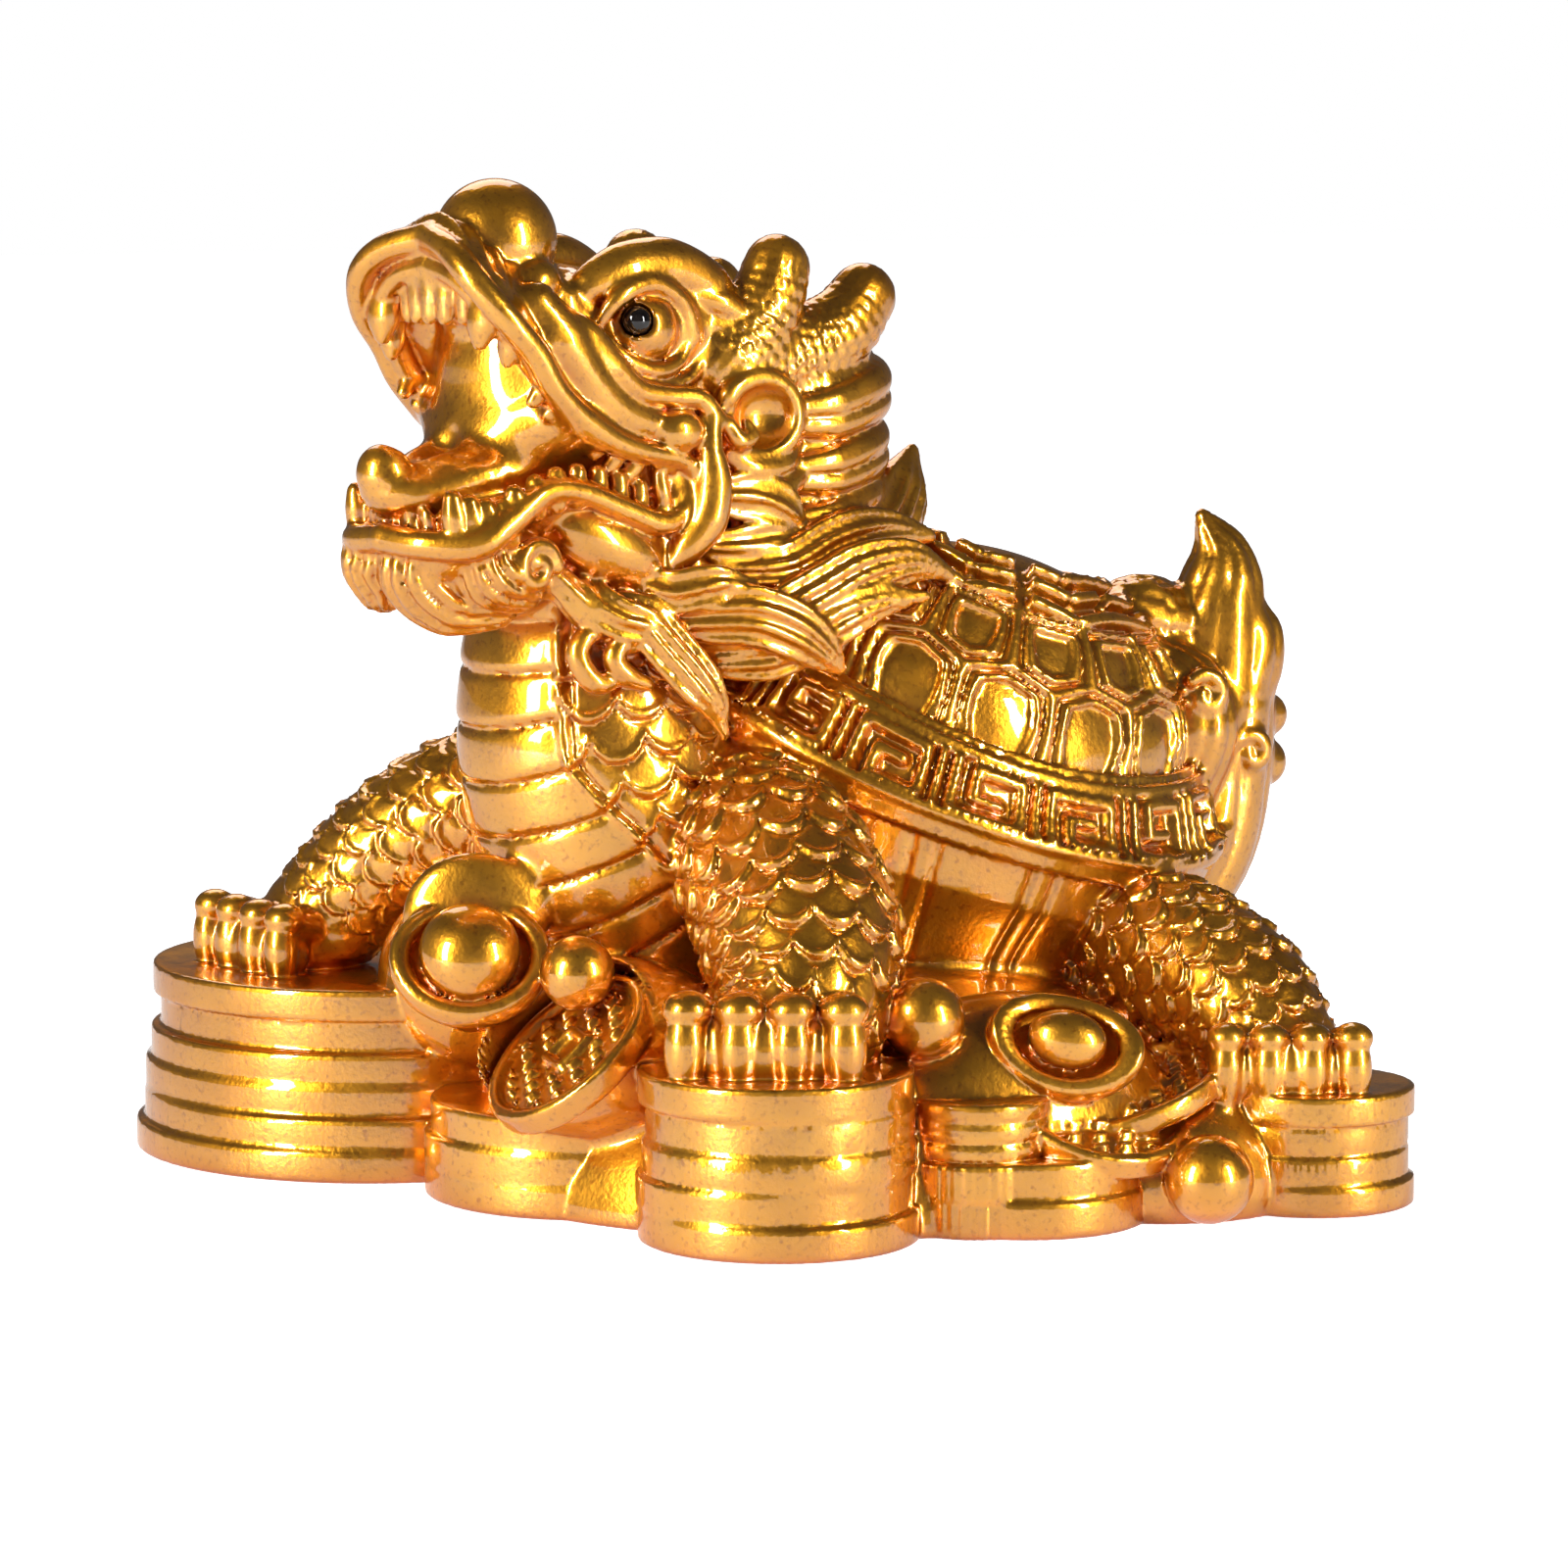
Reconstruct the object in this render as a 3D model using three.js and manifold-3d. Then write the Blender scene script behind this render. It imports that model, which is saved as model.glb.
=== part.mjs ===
// Tea pet: a dragon turtle with its mouth open, standing on piles of coins.
// Millimetres, +Z up. The animal faces -Y and its left side is +X.
// The sculptor's marks are measured from the point midway between the front feet,
// and the finished part is moved so that its origin is under the middle of its box.
import * as THREE from 'three';
import { mergeVertices } from 'three/addons/utils/BufferGeometryUtils.js';
import Module from 'manifold-3d';

// Driving dimensions
const BOX_MIDDLE = { x: -3.302, y: 30.625 };
const HEAD_TURN = 18;
const HEAD_PIVOT_Y = 12;
const SHELL = { y: 51.3, z: 46.8, tilt: 16.5, long: 24.5, wide: 19, high: 17, droop: 4.8 };
const RIM = { out: 31, drop: 4.4, edge: 1.3, lip: 3.6 };
const KEY_COUNT = 10;
const PLATES = 8;
const PLATE_EDGE = { proud: 1.1, half: 4 };
const COIN = 3.3;
const PUPIL = 1.45;
const FIT_GAP = 0.3;

const wasm = await Module();
wasm.setup();

const rad = THREE.MathUtils.degToRad;
const v3 = ([x, y, z]) => new THREE.Vector3(x, y, z);
const mirrored = ([x, y, z], side) => [x * side, y, z];

// Both sides of the animal: build is called with 1 for the left and -1 for the right
const bothSides = (build) => [build(1), build(-1)];

// A closed geometry as a solid: shared corners merged, empty faces left out, faces pointing out
function solid(geometry) {
  geometry.deleteAttribute('normal');
  geometry.deleteAttribute('uv');
  const merged = mergeVertices(geometry, 1e-4);
  const index = merged.index.array;
  const { position } = merged.attributes;
  const corner = (i) => new THREE.Vector3().fromBufferAttribute(position, i);
  const faces = [];
  let volume = 0;
  for (let i = 0; i < index.length; i += 3) {
    const [a, b, c] = [index[i], index[i + 1], index[i + 2]];
    if (a !== b && b !== c && c !== a) {
      faces.push(a, b, c);
      volume += corner(a).dot(corner(b).cross(corner(c)));
    }
  }
  if (volume < 0) {
    faces.reverse();
  }
  return new wasm.Manifold(new wasm.Mesh({
    numProp: 3,
    vertProperties: Float32Array.from(position.array),
    triVerts: Uint32Array.from(faces),
  }));
}

function fuse(geometries, matrix = new THREE.Matrix4()) {
  return geometries.flat(Infinity)
    .map((geometry) => solid(geometry.applyMatrix4(matrix)))
    .reduce((whole, piece) => whole.add(piece));
}

// Move every corner of a geometry by a rule
function warp(geometry, rule) {
  const { position } = geometry.attributes;
  const p = new THREE.Vector3();
  for (let i = 0; i < position.count; i += 1) {
    p.fromBufferAttribute(position, i);
    rule(p);
    position.setXYZ(i, p.x, p.y, p.z);
  }
  return geometry;
}

// Value of a short list of numbers at t from 0 to 1
function along(list, t) {
  const place = t * (list.length - 1);
  const i = Math.min(Math.floor(place), list.length - 2);
  return THREE.MathUtils.lerp(list[i], list[i + 1], place - i);
}

function turned(geometry, lean) {
  const turn = new THREE.Euler(rad(lean[0]), rad(lean[1]), rad(lean[2]));
  return geometry.applyMatrix4(new THREE.Matrix4().makeRotationFromEuler(turn));
}

function ball(centre, radius, { sides = 6, rings = 4, lean = [0, 0, 0] } = {}) {
  const r = Array.isArray(radius) ? radius : [radius, radius, radius];
  const geometry = new THREE.SphereGeometry(1, sides, rings).scale(r[0], r[1], r[2]);
  return turned(geometry, lean).translate(centre[0], centre[1], centre[2]);
}

// A form of changing thickness along a smooth curve, closed at both ends.
// relief gives the extra radius at a ring and a spoke, counted from the start of the curve.
function limb(points, radii, options = {}) {
  const { sides = 5, rings = 4, flat = 1, up = [0, 0, 1], blunt = 6 } = options;
  const { relief = () => 0, spread = (t) => t } = options;
  const curve = new THREE.CatmullRomCurve3(points.map(v3));
  const hint = v3(up);
  return warp(new THREE.SphereGeometry(1, sides, rings), (p) => {
    const ring = Math.round((Math.acos(THREE.MathUtils.clamp(p.y, -1, 1)) / Math.PI) * rings);
    const angle = Math.atan2(p.z, -p.x);
    const spoke = (Math.round((angle / Math.PI / 2) * sides) + sides) % sides;
    const t = spread(ring / rings);
    const tangent = curve.getTangent(t);
    const across = new THREE.Vector3().crossVectors(tangent, hint).normalize();
    const over = new THREE.Vector3().crossVectors(across, tangent);
    const end = Math.sqrt(Math.max(0, 1 - Math.abs(2 * t - 1) ** blunt));
    const r = end === 0 ? 0 : along(radii, t) * end + relief(ring, spoke);
    p.copy(curve.getPoint(t));
    p.addScaledVector(across, r * Math.cos(angle));
    p.addScaledVector(over, -r * flat * Math.sin(angle));
  });
}

// Rings gathered towards both ends, for a round tip
const roundEnds = (t) => (1 - Math.cos(Math.PI * t)) / 2;

// Raised and sunk corners in turn, as rows of scales seen from a step away
const scaleRelief = (proud) => (ring, spoke) => ((ring + spoke) % 2 ? proud : -proud / 2);

// A profile turned about the vertical, its first spoke on +X: pairs of radius and height
function turning(outline, sides) {
  const profile = outline.map(([r, h]) => new THREE.Vector2(r, h));
  return new THREE.LatheGeometry(profile, sides).rotateX(Math.PI / 2).rotateZ(Math.PI / 2);
}

// A pile of round coins with a step where two coins meet
function coinPile({ x, y, radii, thick = COIN, sides = 9 }) {
  const steps = radii.flatMap((r, i) => [[r - 0.5, i * thick], [r, (i + 0.3) * thick]]);
  const top = radii.length * thick;
  const outline = [[0, 0], ...steps, [radii.at(-1) - 0.5, top], [0, top]];
  return turning(outline, sides).translate(x, y, 0);
}

// The shell's own surface: distance from the middle and height over its tilted plan
function onShell(angle, out, height) {
  const x = out * (SHELL.wide / SHELL.long) * Math.cos(angle);
  const v = out * Math.sin(angle);
  const fade = THREE.MathUtils.clamp(1 + (height + 9) / 14, 0, 1);
  const w = height - SHELL.droop * (x / SHELL.wide) ** 2 * fade;
  const tilt = rad(SHELL.tilt);
  return new THREE.Vector3(
    x,
    SHELL.y + v * Math.cos(tilt) + w * Math.sin(tilt),
    SHELL.z - v * Math.sin(tilt) + w * Math.cos(tilt),
  );
}

// Dome, moulding, sloping border, lip and the smooth belly below, as one turned form.
// On the dome the spokes gather in threes, so that each plate is flat between raised edges.
function shellBody() {
  const { long, high } = SHELL;
  const { out, drop, edge, lip } = RIM;
  const edgeRings = [30, 60];
  const domeAngles = [0, ...edgeRings.flatMap((a) => [a - PLATE_EDGE.half, a, a + PLATE_EDGE.half])];
  const dome = domeAngles.map((a) => [long * Math.sin(rad(a)), high * Math.cos(rad(a))]);
  const rest = [
    [long, 0], [long + 1.4, 1],
    [out - 1.1, -drop + 0.4], [out, -drop], [out - 0.3, -drop - edge],
    [out - 2.8, -drop - edge - lip], [out - 4.5, -17], [out - 10, -26], [0, -31.5],
  ];
  const spokes = 3 * PLATES;
  return warp(turning([...dome, ...rest], spokes), (p) => {
    const reach = Math.hypot(p.x, p.y);
    const even = Math.atan2(p.y, p.x);
    const spoke = (Math.round((even / Math.PI / 2) * spokes) + spokes) % spokes;
    const from = Math.round(THREE.MathUtils.radToDeg(Math.asin(Math.min(reach / long, 1))));
    const onDome = p.z > 1.5 && reach > 1;
    const away = ((spoke + 1) % 3) - 1;
    const plate = (2 * Math.PI * Math.round(spoke / 3)) / PLATES;
    const angle = onDome ? plate + away * rad(PLATE_EDGE.half) : even;
    const upright = away === 0 && (from > 60 || (from > 30 && spoke % 2 === 0));
    const raised = onDome && (edgeRings.includes(from) || upright);
    p.copy(onShell(angle, reach, p.z + (raised ? PLATE_EDGE.proud : 0)));
  });
}

// One hook of the square meander, on a unit square
function keyShape() {
  const bar = 0.22;
  const wide = 0.82;
  return new THREE.Shape([
    [0, 0], [0, 1], [wide, 1], [wide, 0.3], [0.4, 0.3], [0.4, 0.3 + bar],
    [wide - bar, 0.3 + bar], [wide - bar, 1 - bar], [bar, 1 - bar], [bar, 0],
  ].map(([u, v]) => new THREE.Vector2(u, v)));
}

function keyBorder() {
  const inner = SHELL.long + 1.9;
  const outer = RIM.out - 1.4;
  const pitch = (2 * Math.PI) / KEY_COUNT;
  const from = SHELL.long + 1.4;
  const to = RIM.out - 1.1;
  const slope = (out) => THREE.MathUtils.mapLinear(out, from, to, 1, 0.4 - RIM.drop);
  return Array.from({ length: KEY_COUNT }, (_, i) => {
    const geometry = new THREE.ExtrudeGeometry(keyShape(), { depth: 1, bevelEnabled: false });
    return warp(geometry, (p) => {
      const angle = pitch * (i + 0.09 + (i % 2 ? p.x : 0.82 - p.x));
      const out = THREE.MathUtils.lerp(outer, inner, p.y);
      p.copy(onShell(angle, out, slope(out) + THREE.MathUtils.lerp(-0.8, 0.8, p.z)));
    });
  });
}

// Neck and breast: broad plates down the front, scales on the sides
function neck() {
  const spine = [[0, 20, 22], [0, 13, 31], [0, 9.6, 41], [0, 8.6, 51], [0.6, 10, 61], [2, 14, 72]];
  const sides = 8;
  const relief = (ring, spoke) => {
    const front = Math.abs(spoke - sides / 4) < 1.6;
    return front ? (ring % 2 ? 0.6 : -0.4) : scaleRelief(0.7)(ring, spoke);
  };
  return [
    limb(spine, [10, 13.6, 13.6, 12.8, 11.6, 9], { sides, rings: 8, up: [0, 1, 0.3], relief }),
    ball([0, 31, 29], [17, 17, 13], { sides: 7 }),
    ball([0, 27, 60], [12.5, 14, 9.5]),
  ];
}

// A paw with a row of knuckled, clawed toes, facing degrees from -Y towards +X
function paw([x, y, z], facing, size = 1) {
  const matrix = new THREE.Matrix4().makeRotationZ(rad(facing));
  matrix.scale(new THREE.Vector3(size, size, size)).setPosition(x, y, z);
  const toes = [-1.5, -0.5, 0.5, 1.5].map((place) => {
    const fan = rad(place * 8);
    const at = (r, h) => [place * 3.4 + r * Math.sin(fan), 2 - r * Math.cos(fan), h];
    const spine = [at(1, 4.4), at(6.4, 7), at(10.4, 5.2), at(11.4, 2), at(10.6, -0.6)];
    return limb(spine, [1.5, 2.3, 2.3, 1.6, 0.5], { rings: 3, up: [1, 0, 0], flat: 0.72 });
  });
  const sole = ball([0, 0.5, 2.4], [8, 7.6, 4.2]);
  return [sole, toes].flat(Infinity).map((geometry) => geometry.applyMatrix4(matrix));
}

function legs() {
  const scaled = { sides: 7, rings: 5, up: [0, 1, 0], blunt: 8, relief: scaleRelief(0.7) };
  const frontLeft = [[8, 27, 41], [18, 22.5, 38], [25, 19.5, 31], [30, 17.5, 23], [32, 15.5, 18]];
  const frontRight = [[-8, 22, 38], [-17, 9, 37], [-24, -1, 33], [-30, -9, 23]];
  const hind = [[10, 56, 28], [20, 59, 25], [30, 64.5, 19.5], [37, 67, 13]];
  return [
    limb(frontLeft, [9, 10.4, 10, 7.6, 6], scaled),
    limb(frontRight, [9, 8.6, 7, 5.6], scaled),
    bothSides((s) => limb(hind.map((p) => mirrored(p, s)), [9, 10, 8.2, 6], scaled)),
    paw([33, 13.4, 16.7], 62, 1.08),
    paw([-31, -11, 19.5], 12, 0.96),
    paw([38.5, 67.5, 12], 66, 0.88),
    paw([-37.5, 67.5, 12], -66, 0.88),
  ];
}

// Directions for a thing that lies tilted: its long axis and where its open face looks
function lying(place, axis, look) {
  const n = v3(look).normalize();
  const across = new THREE.Vector3().crossVectors(n, v3(axis)).normalize();
  const long = new THREE.Vector3().crossVectors(across, n);
  return new THREE.Matrix4().makeBasis(long, across, n).setPosition(...place);
}

// A boat-shaped ingot: a tapered body, a rim that rises to both ends, and an egg in the middle
function ingot(place, axis, look, { long, wide, high, egg }) {
  const outline = [[0, -1], [0.55, -1], [0.9, -0.3], [1, 0.08], [0.78, 0], [0, -0.3]];
  const body = warp(turning(outline, 9), (p) => {
    p.set(p.x * long, p.y * wide, p.z * high + p.x ** 2 * 2.4);
  });
  const matrix = lying(place, axis, look);
  return [body, ball([0, 0, 0], egg)].map((geometry) => geometry.applyMatrix4(matrix));
}

// A single coin with a raised edge
function coin(place, radius, look, thick = 2.2) {
  const half = thick / 2;
  const edge = radius - 1.4;
  const outline = [[0, -half], [radius, -half], [radius, half], [edge, half], [0, half - 0.8]];
  return turning(outline, 12).applyMatrix4(lying(place, [0, 1, 0.1], look));
}

function treasure() {
  const front = [25.8, 24.8, 24.2, 23.7, 23.1, 23.5];
  const left = [13.7, 13.5, 13.3, 13.1, 12.9];
  const hind = [10.4, 10.2, 10.1, 10.2];
  const boat = { long: 8, wide: 6.2, high: 10, egg: 4.2 };
  const smallBoat = { long: 6.8, wide: 4.8, high: 8, egg: [3.9, 2.9, 2.8] };
  return [
    coinPile({ x: -31.9, y: -1.4, radii: front, thick: 3.25, sides: 12 }),
    coinPile({ x: 33.4, y: 14.1, radii: left, thick: 3.34, sides: 10 }),
    coinPile({ x: 3.4, y: 7.5, radii: [17, 16.7, 16.4], sides: 10 }),
    coinPile({ x: 34.5, y: 40.4, radii: [12.4, 12.1], thick: 3.7 }),
    coinPile({ x: 37, y: 33.9, radii: [7.4, 7.3, 7.2, 7.1], sides: 7 }),
    coinPile({ x: -40, y: 34, radii: [11.9, 11.6], thick: 3.7, sides: 8 }),
    bothSides((s) => coinPile({ x: 38.4 * s, y: 70.2, radii: hind, thick: 3, sides: 8 })),
    bothSides((s) => coinPile({ x: 13 * s, y: 76, radii: [11.4, 11], thick: 4, sides: 7 })),
    ball([2, 37, 0], [40, 42, 24], { sides: 8 }),
    ball([0, 66, 2], [32, 15, 15], { sides: 7 }),
    ball([15, 4, 16.5], [10.5, 14, 9]),
    ball([-12, 1, 20], [9, 10, 10]),
    ball([31, 40, 8], [11, 18, 14]),
    ball([35, 29, 20.6], 4.1),
    ball([16.5, 0.3, 24.4], 3.7),
    ball([46.5, 53.5, 4.2], 4.6),
    ball([-34, 52, 4.2], 4.6),
    ingot([9, -7.4, 24.6], [-0.1, 0.71, 0.7], [0.45, -0.6, 0.66], boat),
    ingot([40, 42, 17.8], [0.5, 0.84, -0.2], [0.78, -0.3, 0.56], smallBoat),
    coin([17, -0.5, 16.6], 9.4, [0, -0.68, 0.73]),
    coin([38, 46, 11.2], 10, [0.5, 0.05, 0.86]),
  ];
}

// The tail rises behind the shell and breaks into curling flames
function tail() {
  const spine = [[0, 72, 24], [0, 81, 31], [0, 82.5, 41], [0, 81.4, 50], [0.5, 80.6, 58], [-0.5, 79, 66.6]];
  const leaf = { sides: 4, up: [0, 1, 0] };
  return [
    limb(spine, [7, 6.4, 5.8, 5.4, 4.4, 0.6], { sides: 6, rings: 6, up: [1, 0, 0], flat: 1.1 }),
    limb([[-2, 80, 42], [-9, 79, 50], [-13, 76.5, 56], [-9, 74.6, 60]], [4.6, 5, 4.2, 1], leaf),
    limb([[2, 80, 41], [6, 81.6, 46], [7, 82, 52], [5, 81.4, 56.5]], [4.2, 4.4, 3.4, 1], leaf),
    limb([[2, 79, 30], [4, 83, 36], [3.6, 86, 42], [1, 85, 46]], [3.6, 4, 2.8, 1], leaf),
  ];
}

// Head, in a frame of its own that faces -Y; it is turned to the animal's left afterwards
const UPPER_LIP = [
  [3, -13.4, 95.8], [7.4, -14, 93.6], [10.6, -12, 89.4], [11.5, -8.6, 85.2],
  [11.8, -5.6, 81], [12, -2, 77.8], [12.2, 3, 75.4], [12.4, 9, 73.6],
];
const LOWER_LIP = [
  [3, -18, 67.4], [7, -16.8, 67], [9.6, -13, 67.2], [10.4, -8, 70.8],
  [10.6, -4, 71.8], [11, 0.6, 70.8], [11.8, 5.6, 68.2], [12.6, 11, 70],
];
const SWIRL = [
  [10.6, -2, 82.6], [11.4, 1.6, 79.8], [12, 6, 79.8], [13, 11.4, 79.2],
  [13.6, 14.2, 75.4], [13.4, 14.6, 69.6], [11.6, 11, 64],
];
const BROW = [[5.5, 0.4, 88.4], [7, 3.6, 92], [8.4, 10, 93.8], [9.6, 15.6, 92.4], [10.6, 18.4, 87.6]];
const EYE = [8.4, 7.2, 87];
const GAZE = [0.71, -0.66, 0.26];

// A fang, as a four-sided spike
function fang(root, tip, radius) {
  const a = v3(root);
  const b = v3(tip);
  const way = b.clone().sub(a);
  const turn = new THREE.Quaternion().setFromUnitVectors(new THREE.Vector3(0, 1, 0), way.clone().normalize());
  const matrix = new THREE.Matrix4().makeRotationFromQuaternion(turn).setPosition(a.lerp(b, 0.5));
  return new THREE.ConeGeometry(radius, way.length(), 4).applyMatrix4(matrix);
}

// A row of pointed teeth cut from one strip whose root is sunk in the lip
function toothRow(from, to, tip, count, thick = 1.8) {
  const a = v3(from);
  const line = v3(to).sub(a);
  const way = v3(tip);
  const matrix = new THREE.Matrix4().makeBasis(line, way, line.clone().cross(way).normalize()).setPosition(a);
  const gum = 0.3;
  const points = [[0, 0]];
  for (let i = 0; i < count; i += 1) {
    points.push([i / count, gum], [(i + 0.5) / count, 1]);
  }
  points.push([1, gum], [1, 0]);
  const shape = new THREE.Shape(points.map(([u, v]) => new THREE.Vector2(u, v)));
  const strip = new THREE.ExtrudeGeometry(shape, { depth: thick, bevelEnabled: false });
  return strip.translate(0, 0, -thick / 2).applyMatrix4(matrix);
}

function teeth() {
  return [
    toothRow([-6.4, -12.6, 96], [6.4, -12.6, 96], [0, -0.6, -5.6], 4),
    toothRow([-6, -16.4, 66.6], [6, -16.4, 66.6], [0, -0.8, 5.4], 4),
    bothSides((s) => [
      toothRow([s * 10.8, -6.4, 84], [s * 11.4, 4.6, 75.4], [0, -2, -4.6], 3),
      fang([s * 9, -11.4, 93], [s * 8.8, -13.4, 86], 1.9),
      fang([s * 8.6, -13.6, 66.6], [s * 8.4, -15, 73.6], 1.8),
    ]),
  ];
}

// A jaw as a plate stretched across its lip line, from the front to the mouth's corners.
// The lip is a thick edge, the middle is hollowed away from the mouth, and back is the plate's outer side.
function jawPlate(lip, back, { lipThick, hollow, skin, steps }) {
  const curve = new THREE.CatmullRomCurve3(lip.map(v3));
  return warp(new THREE.BoxGeometry(2, 1, 1, 3, steps, 1), (p) => {
    const t = p.y + 0.5;
    const middle = 1 - p.x ** 2;
    const depth = along(hollow, t) * middle;
    const offset = p.z < 0 ? depth - lipThick : depth + lipThick + skin * middle;
    const at = curve.getPoint(t);
    p.set(at.x * p.x, at.y, at.z).addScaledVector(v3(back), offset);
  });
}

function face() {
  const upper = { lipThick: 1.5, hollow: [0, 3, 5.6, 7, 7.4, 7, 6], skin: 2, steps: 6 };
  const bridge = { sides: 7, rings: 3, flat: 0.62, blunt: 12 };
  const lower = { lipThick: 1.5, hollow: [0, 1.4, 2.6, 3.4, 3.4, 2.6, 2.2], skin: 2.6, steps: 6 };
  return [
    jawPlate(UPPER_LIP, [0, 0.6, 0.8], upper),
    jawPlate(LOWER_LIP, [0, 0.2, -1], lower),
    ball([0, 15, 82], [10.6, 12.5, 10.6], { sides: 8, rings: 5 }),
    ball([0, 12, 71], [12.4, 9, 9]),
    limb([[0, 10, 87], [0, 3, 89], [0, -8, 94]], [9, 8.6, 6.6], bridge),
    ball([0, -4, 95.6], 6.2, { sides: 9, rings: 6 }),
    limb([[0, 10, 71], [0, 0, 74.6], [0, -10, 74.2], [-0.5, -18, 75]], [6, 6.4, 5.6, 2.4], { flat: 0.3 }),
    ball([-0.5, -18.4, 75.2], 1.8),
    bothSides((s) => {
      const m = (list) => list.map((p) => mirrored(p, s));
      return [
        limb(m(SWIRL), [1.5, 1.7, 1.8, 2, 1.8, 1.2], { sides: 4, rings: 6, up: [1, 0, 0.2] }),
        limb(m(BROW), [1.6, 2.4, 3, 2.8, 2.1], { sides: 4, up: [1, 0, 0.5] }),
        ball(mirrored([5, -1.6, 91.4], s), 3.4),
        ball(mirrored([7.4, 4.2, 64.6], s), [4.6, 8.6, 4.2], { lean: [-25, 0, 0] }),
        ball(mirrored(EYE, s), 4, { sides: 8, rings: 5 }),
      ];
    }),
  ];
}

function horns() {
  return bothSides((s) => {
    const prong = (points, radii) => {
      const spine = points.map((p) => mirrored(p, s));
      return limb(spine, radii, { sides: 6, up: [1, 0, 0], blunt: 3, spread: roundEnds });
    };
    return [
      prong([[9.4, 17.6, 83], [10.2, 21.6, 88.4], [10.6, 23.8, 92.4], [10.6, 24.8, 96]], [3.8, 3.7, 3.4, 2.8]),
      prong([[9, 18, 83], [10.2, 27, 84.2], [11.2, 33.4, 87.6], [11.5, 37, 92.4]], [4, 3.9, 3.5, 2.7]),
    ];
  });
}

const ears = () => bothSides((s) => ball(mirrored([13, 20, 78], s), [2.6, 5.6, 5.4], { sides: 8 }));
const earCups = () => bothSides((s) => ball(mirrored([16, 19, 78.4], s), [2.4, 3.5, 3.3]));

// A lock of hair: a flat leaf that bends to its tip
function lock(points, width, side) {
  const radii = [width * 0.7, width, width * 0.85, 0.3];
  const spine = points.map((p) => mirrored(p, side));
  return limb(spine, radii, { sides: 4, flat: 0.6, up: [0, 0.4, 1], blunt: 8 });
}

// Hair coiled behind the head in three rolls, and a pointed lock that turns up
function hair() {
  const rolls = [
    [0, -9], [0.8, -8.4], [1, -5.6], [0.86, -3], [1, 0], [0.86, 3], [1, 5.6], [0.76, 9.6], [0, 11],
  ];
  const bun = turning(rolls, 9).scale(11.6, 14.2, 1).translate(0, 30.6, 73.6);
  return [
    bun,
    bothSides((s) => [
      lock([[9, 26, 68], [10, 36, 66], [8, 45, 68.6], [4.4, 50, 74]], 5, s),
      lock([[10, 13, 68], [12.6, 20, 69.6], [12.6, 27, 66.6]], 3.8, s),
    ]),
  ];
}

function beard() {
  return [
    ball([-4.6, -15.6, 63], [3.8, 3.4, 3.8]),
    ball([0.6, -13.8, 61.6], [5, 4.4, 4.6]),
    ball([6, -10.6, 62.6], [4.6, 4, 4]),
  ];
}

// Mane locks that fall from the back of the head over the neck and the front of the shell
function mane() {
  return bothSides((s) => [
    lock([[7, 14, 61], [11.6, 20, 59], [13, 26, 54], [13, 31, 51]], 4.4, s),
    lock([[8, 12, 54], [12.4, 17, 51], [14, 22, 47.4], [13.4, 28, 45.6]], 4, s),
    lock([[5, 18, 66], [9, 26, 62], [12, 33, 59.4], [11.4, 41, 57.4]], 5.2, s),
    lock([[3, 20, 68], [5.4, 30, 65], [6, 37, 64.6], [4.6, 44, 61.6]], 5.2, s),
  ]);
}

const headMatrix = new THREE.Matrix4()
  .makeTranslation(0, HEAD_PIVOT_Y, 0)
  .multiply(new THREE.Matrix4().makeRotationZ(rad(HEAD_TURN)))
  .multiply(new THREE.Matrix4().makeTranslation(0, -HEAD_PIVOT_Y, 0));

const pupil = (side, radius) => {
  const place = v3(EYE).addScaledVector(v3(GAZE).normalize(), 3.3);
  return ball(mirrored(place.toArray(), side), radius, { sides: 7, rings: 5 });
};

const head = fuse([face(), horns(), ears(), hair(), beard(), teeth()], headMatrix)
  .subtract(fuse([earCups(), bothSides((s) => pupil(s, PUPIL + FIT_GAP))], headMatrix));

const belowTable = new THREE.BoxGeometry(200, 200, 40).translate(0, 30, -20);

const casting = fuse([shellBody(), keyBorder(), neck(), legs(), tail(), mane(), treasure()])
  .add(head)
  .subtract(solid(belowTable));

function meshOf(name, body, material) {
  const { vertProperties, triVerts } = body.getMesh();
  const geometry = new THREE.BufferGeometry();
  geometry.setAttribute('position', new THREE.BufferAttribute(Float32Array.from(vertProperties), 3));
  geometry.setIndex(new THREE.BufferAttribute(Uint32Array.from(triVerts), 1));
  geometry.computeVertexNormals();
  const mesh = new THREE.Mesh(geometry, material);
  mesh.name = name;
  return mesh;
}

const goldLacquer = new THREE.MeshStandardMaterial({ color: 0xd89a2e, roughness: 0.3, metalness: 0.9 });
const blackBead = new THREE.MeshStandardMaterial({ color: 0x0b0a0c, roughness: 0.08, metalness: 0 });

const teaPet = new THREE.Group();
teaPet.add(meshOf('casting', casting, goldLacquer));
teaPet.add(meshOf('pupil_left', fuse([pupil(1, PUPIL)], headMatrix), blackBead));
teaPet.add(meshOf('pupil_right', fuse([pupil(-1, PUPIL)], headMatrix), blackBead.clone()));
teaPet.position.set(-BOX_MIDDLE.x, -BOX_MIDDLE.y, 0);

export default teaPet;
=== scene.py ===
"""Gold dragon turtle on coin piles, sculpted as one cast piece and finished in gold lacquer.

Sizes are millimetres in the sculptor's frame: the origin is midway between the front feet,
the animal faces -Y, its left side is +X and +Z is up. The last step moves the cast to the row frame.
"""
import math

import bmesh
import bpy
import numpy as np
from mathutils import Matrix, Vector


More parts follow.
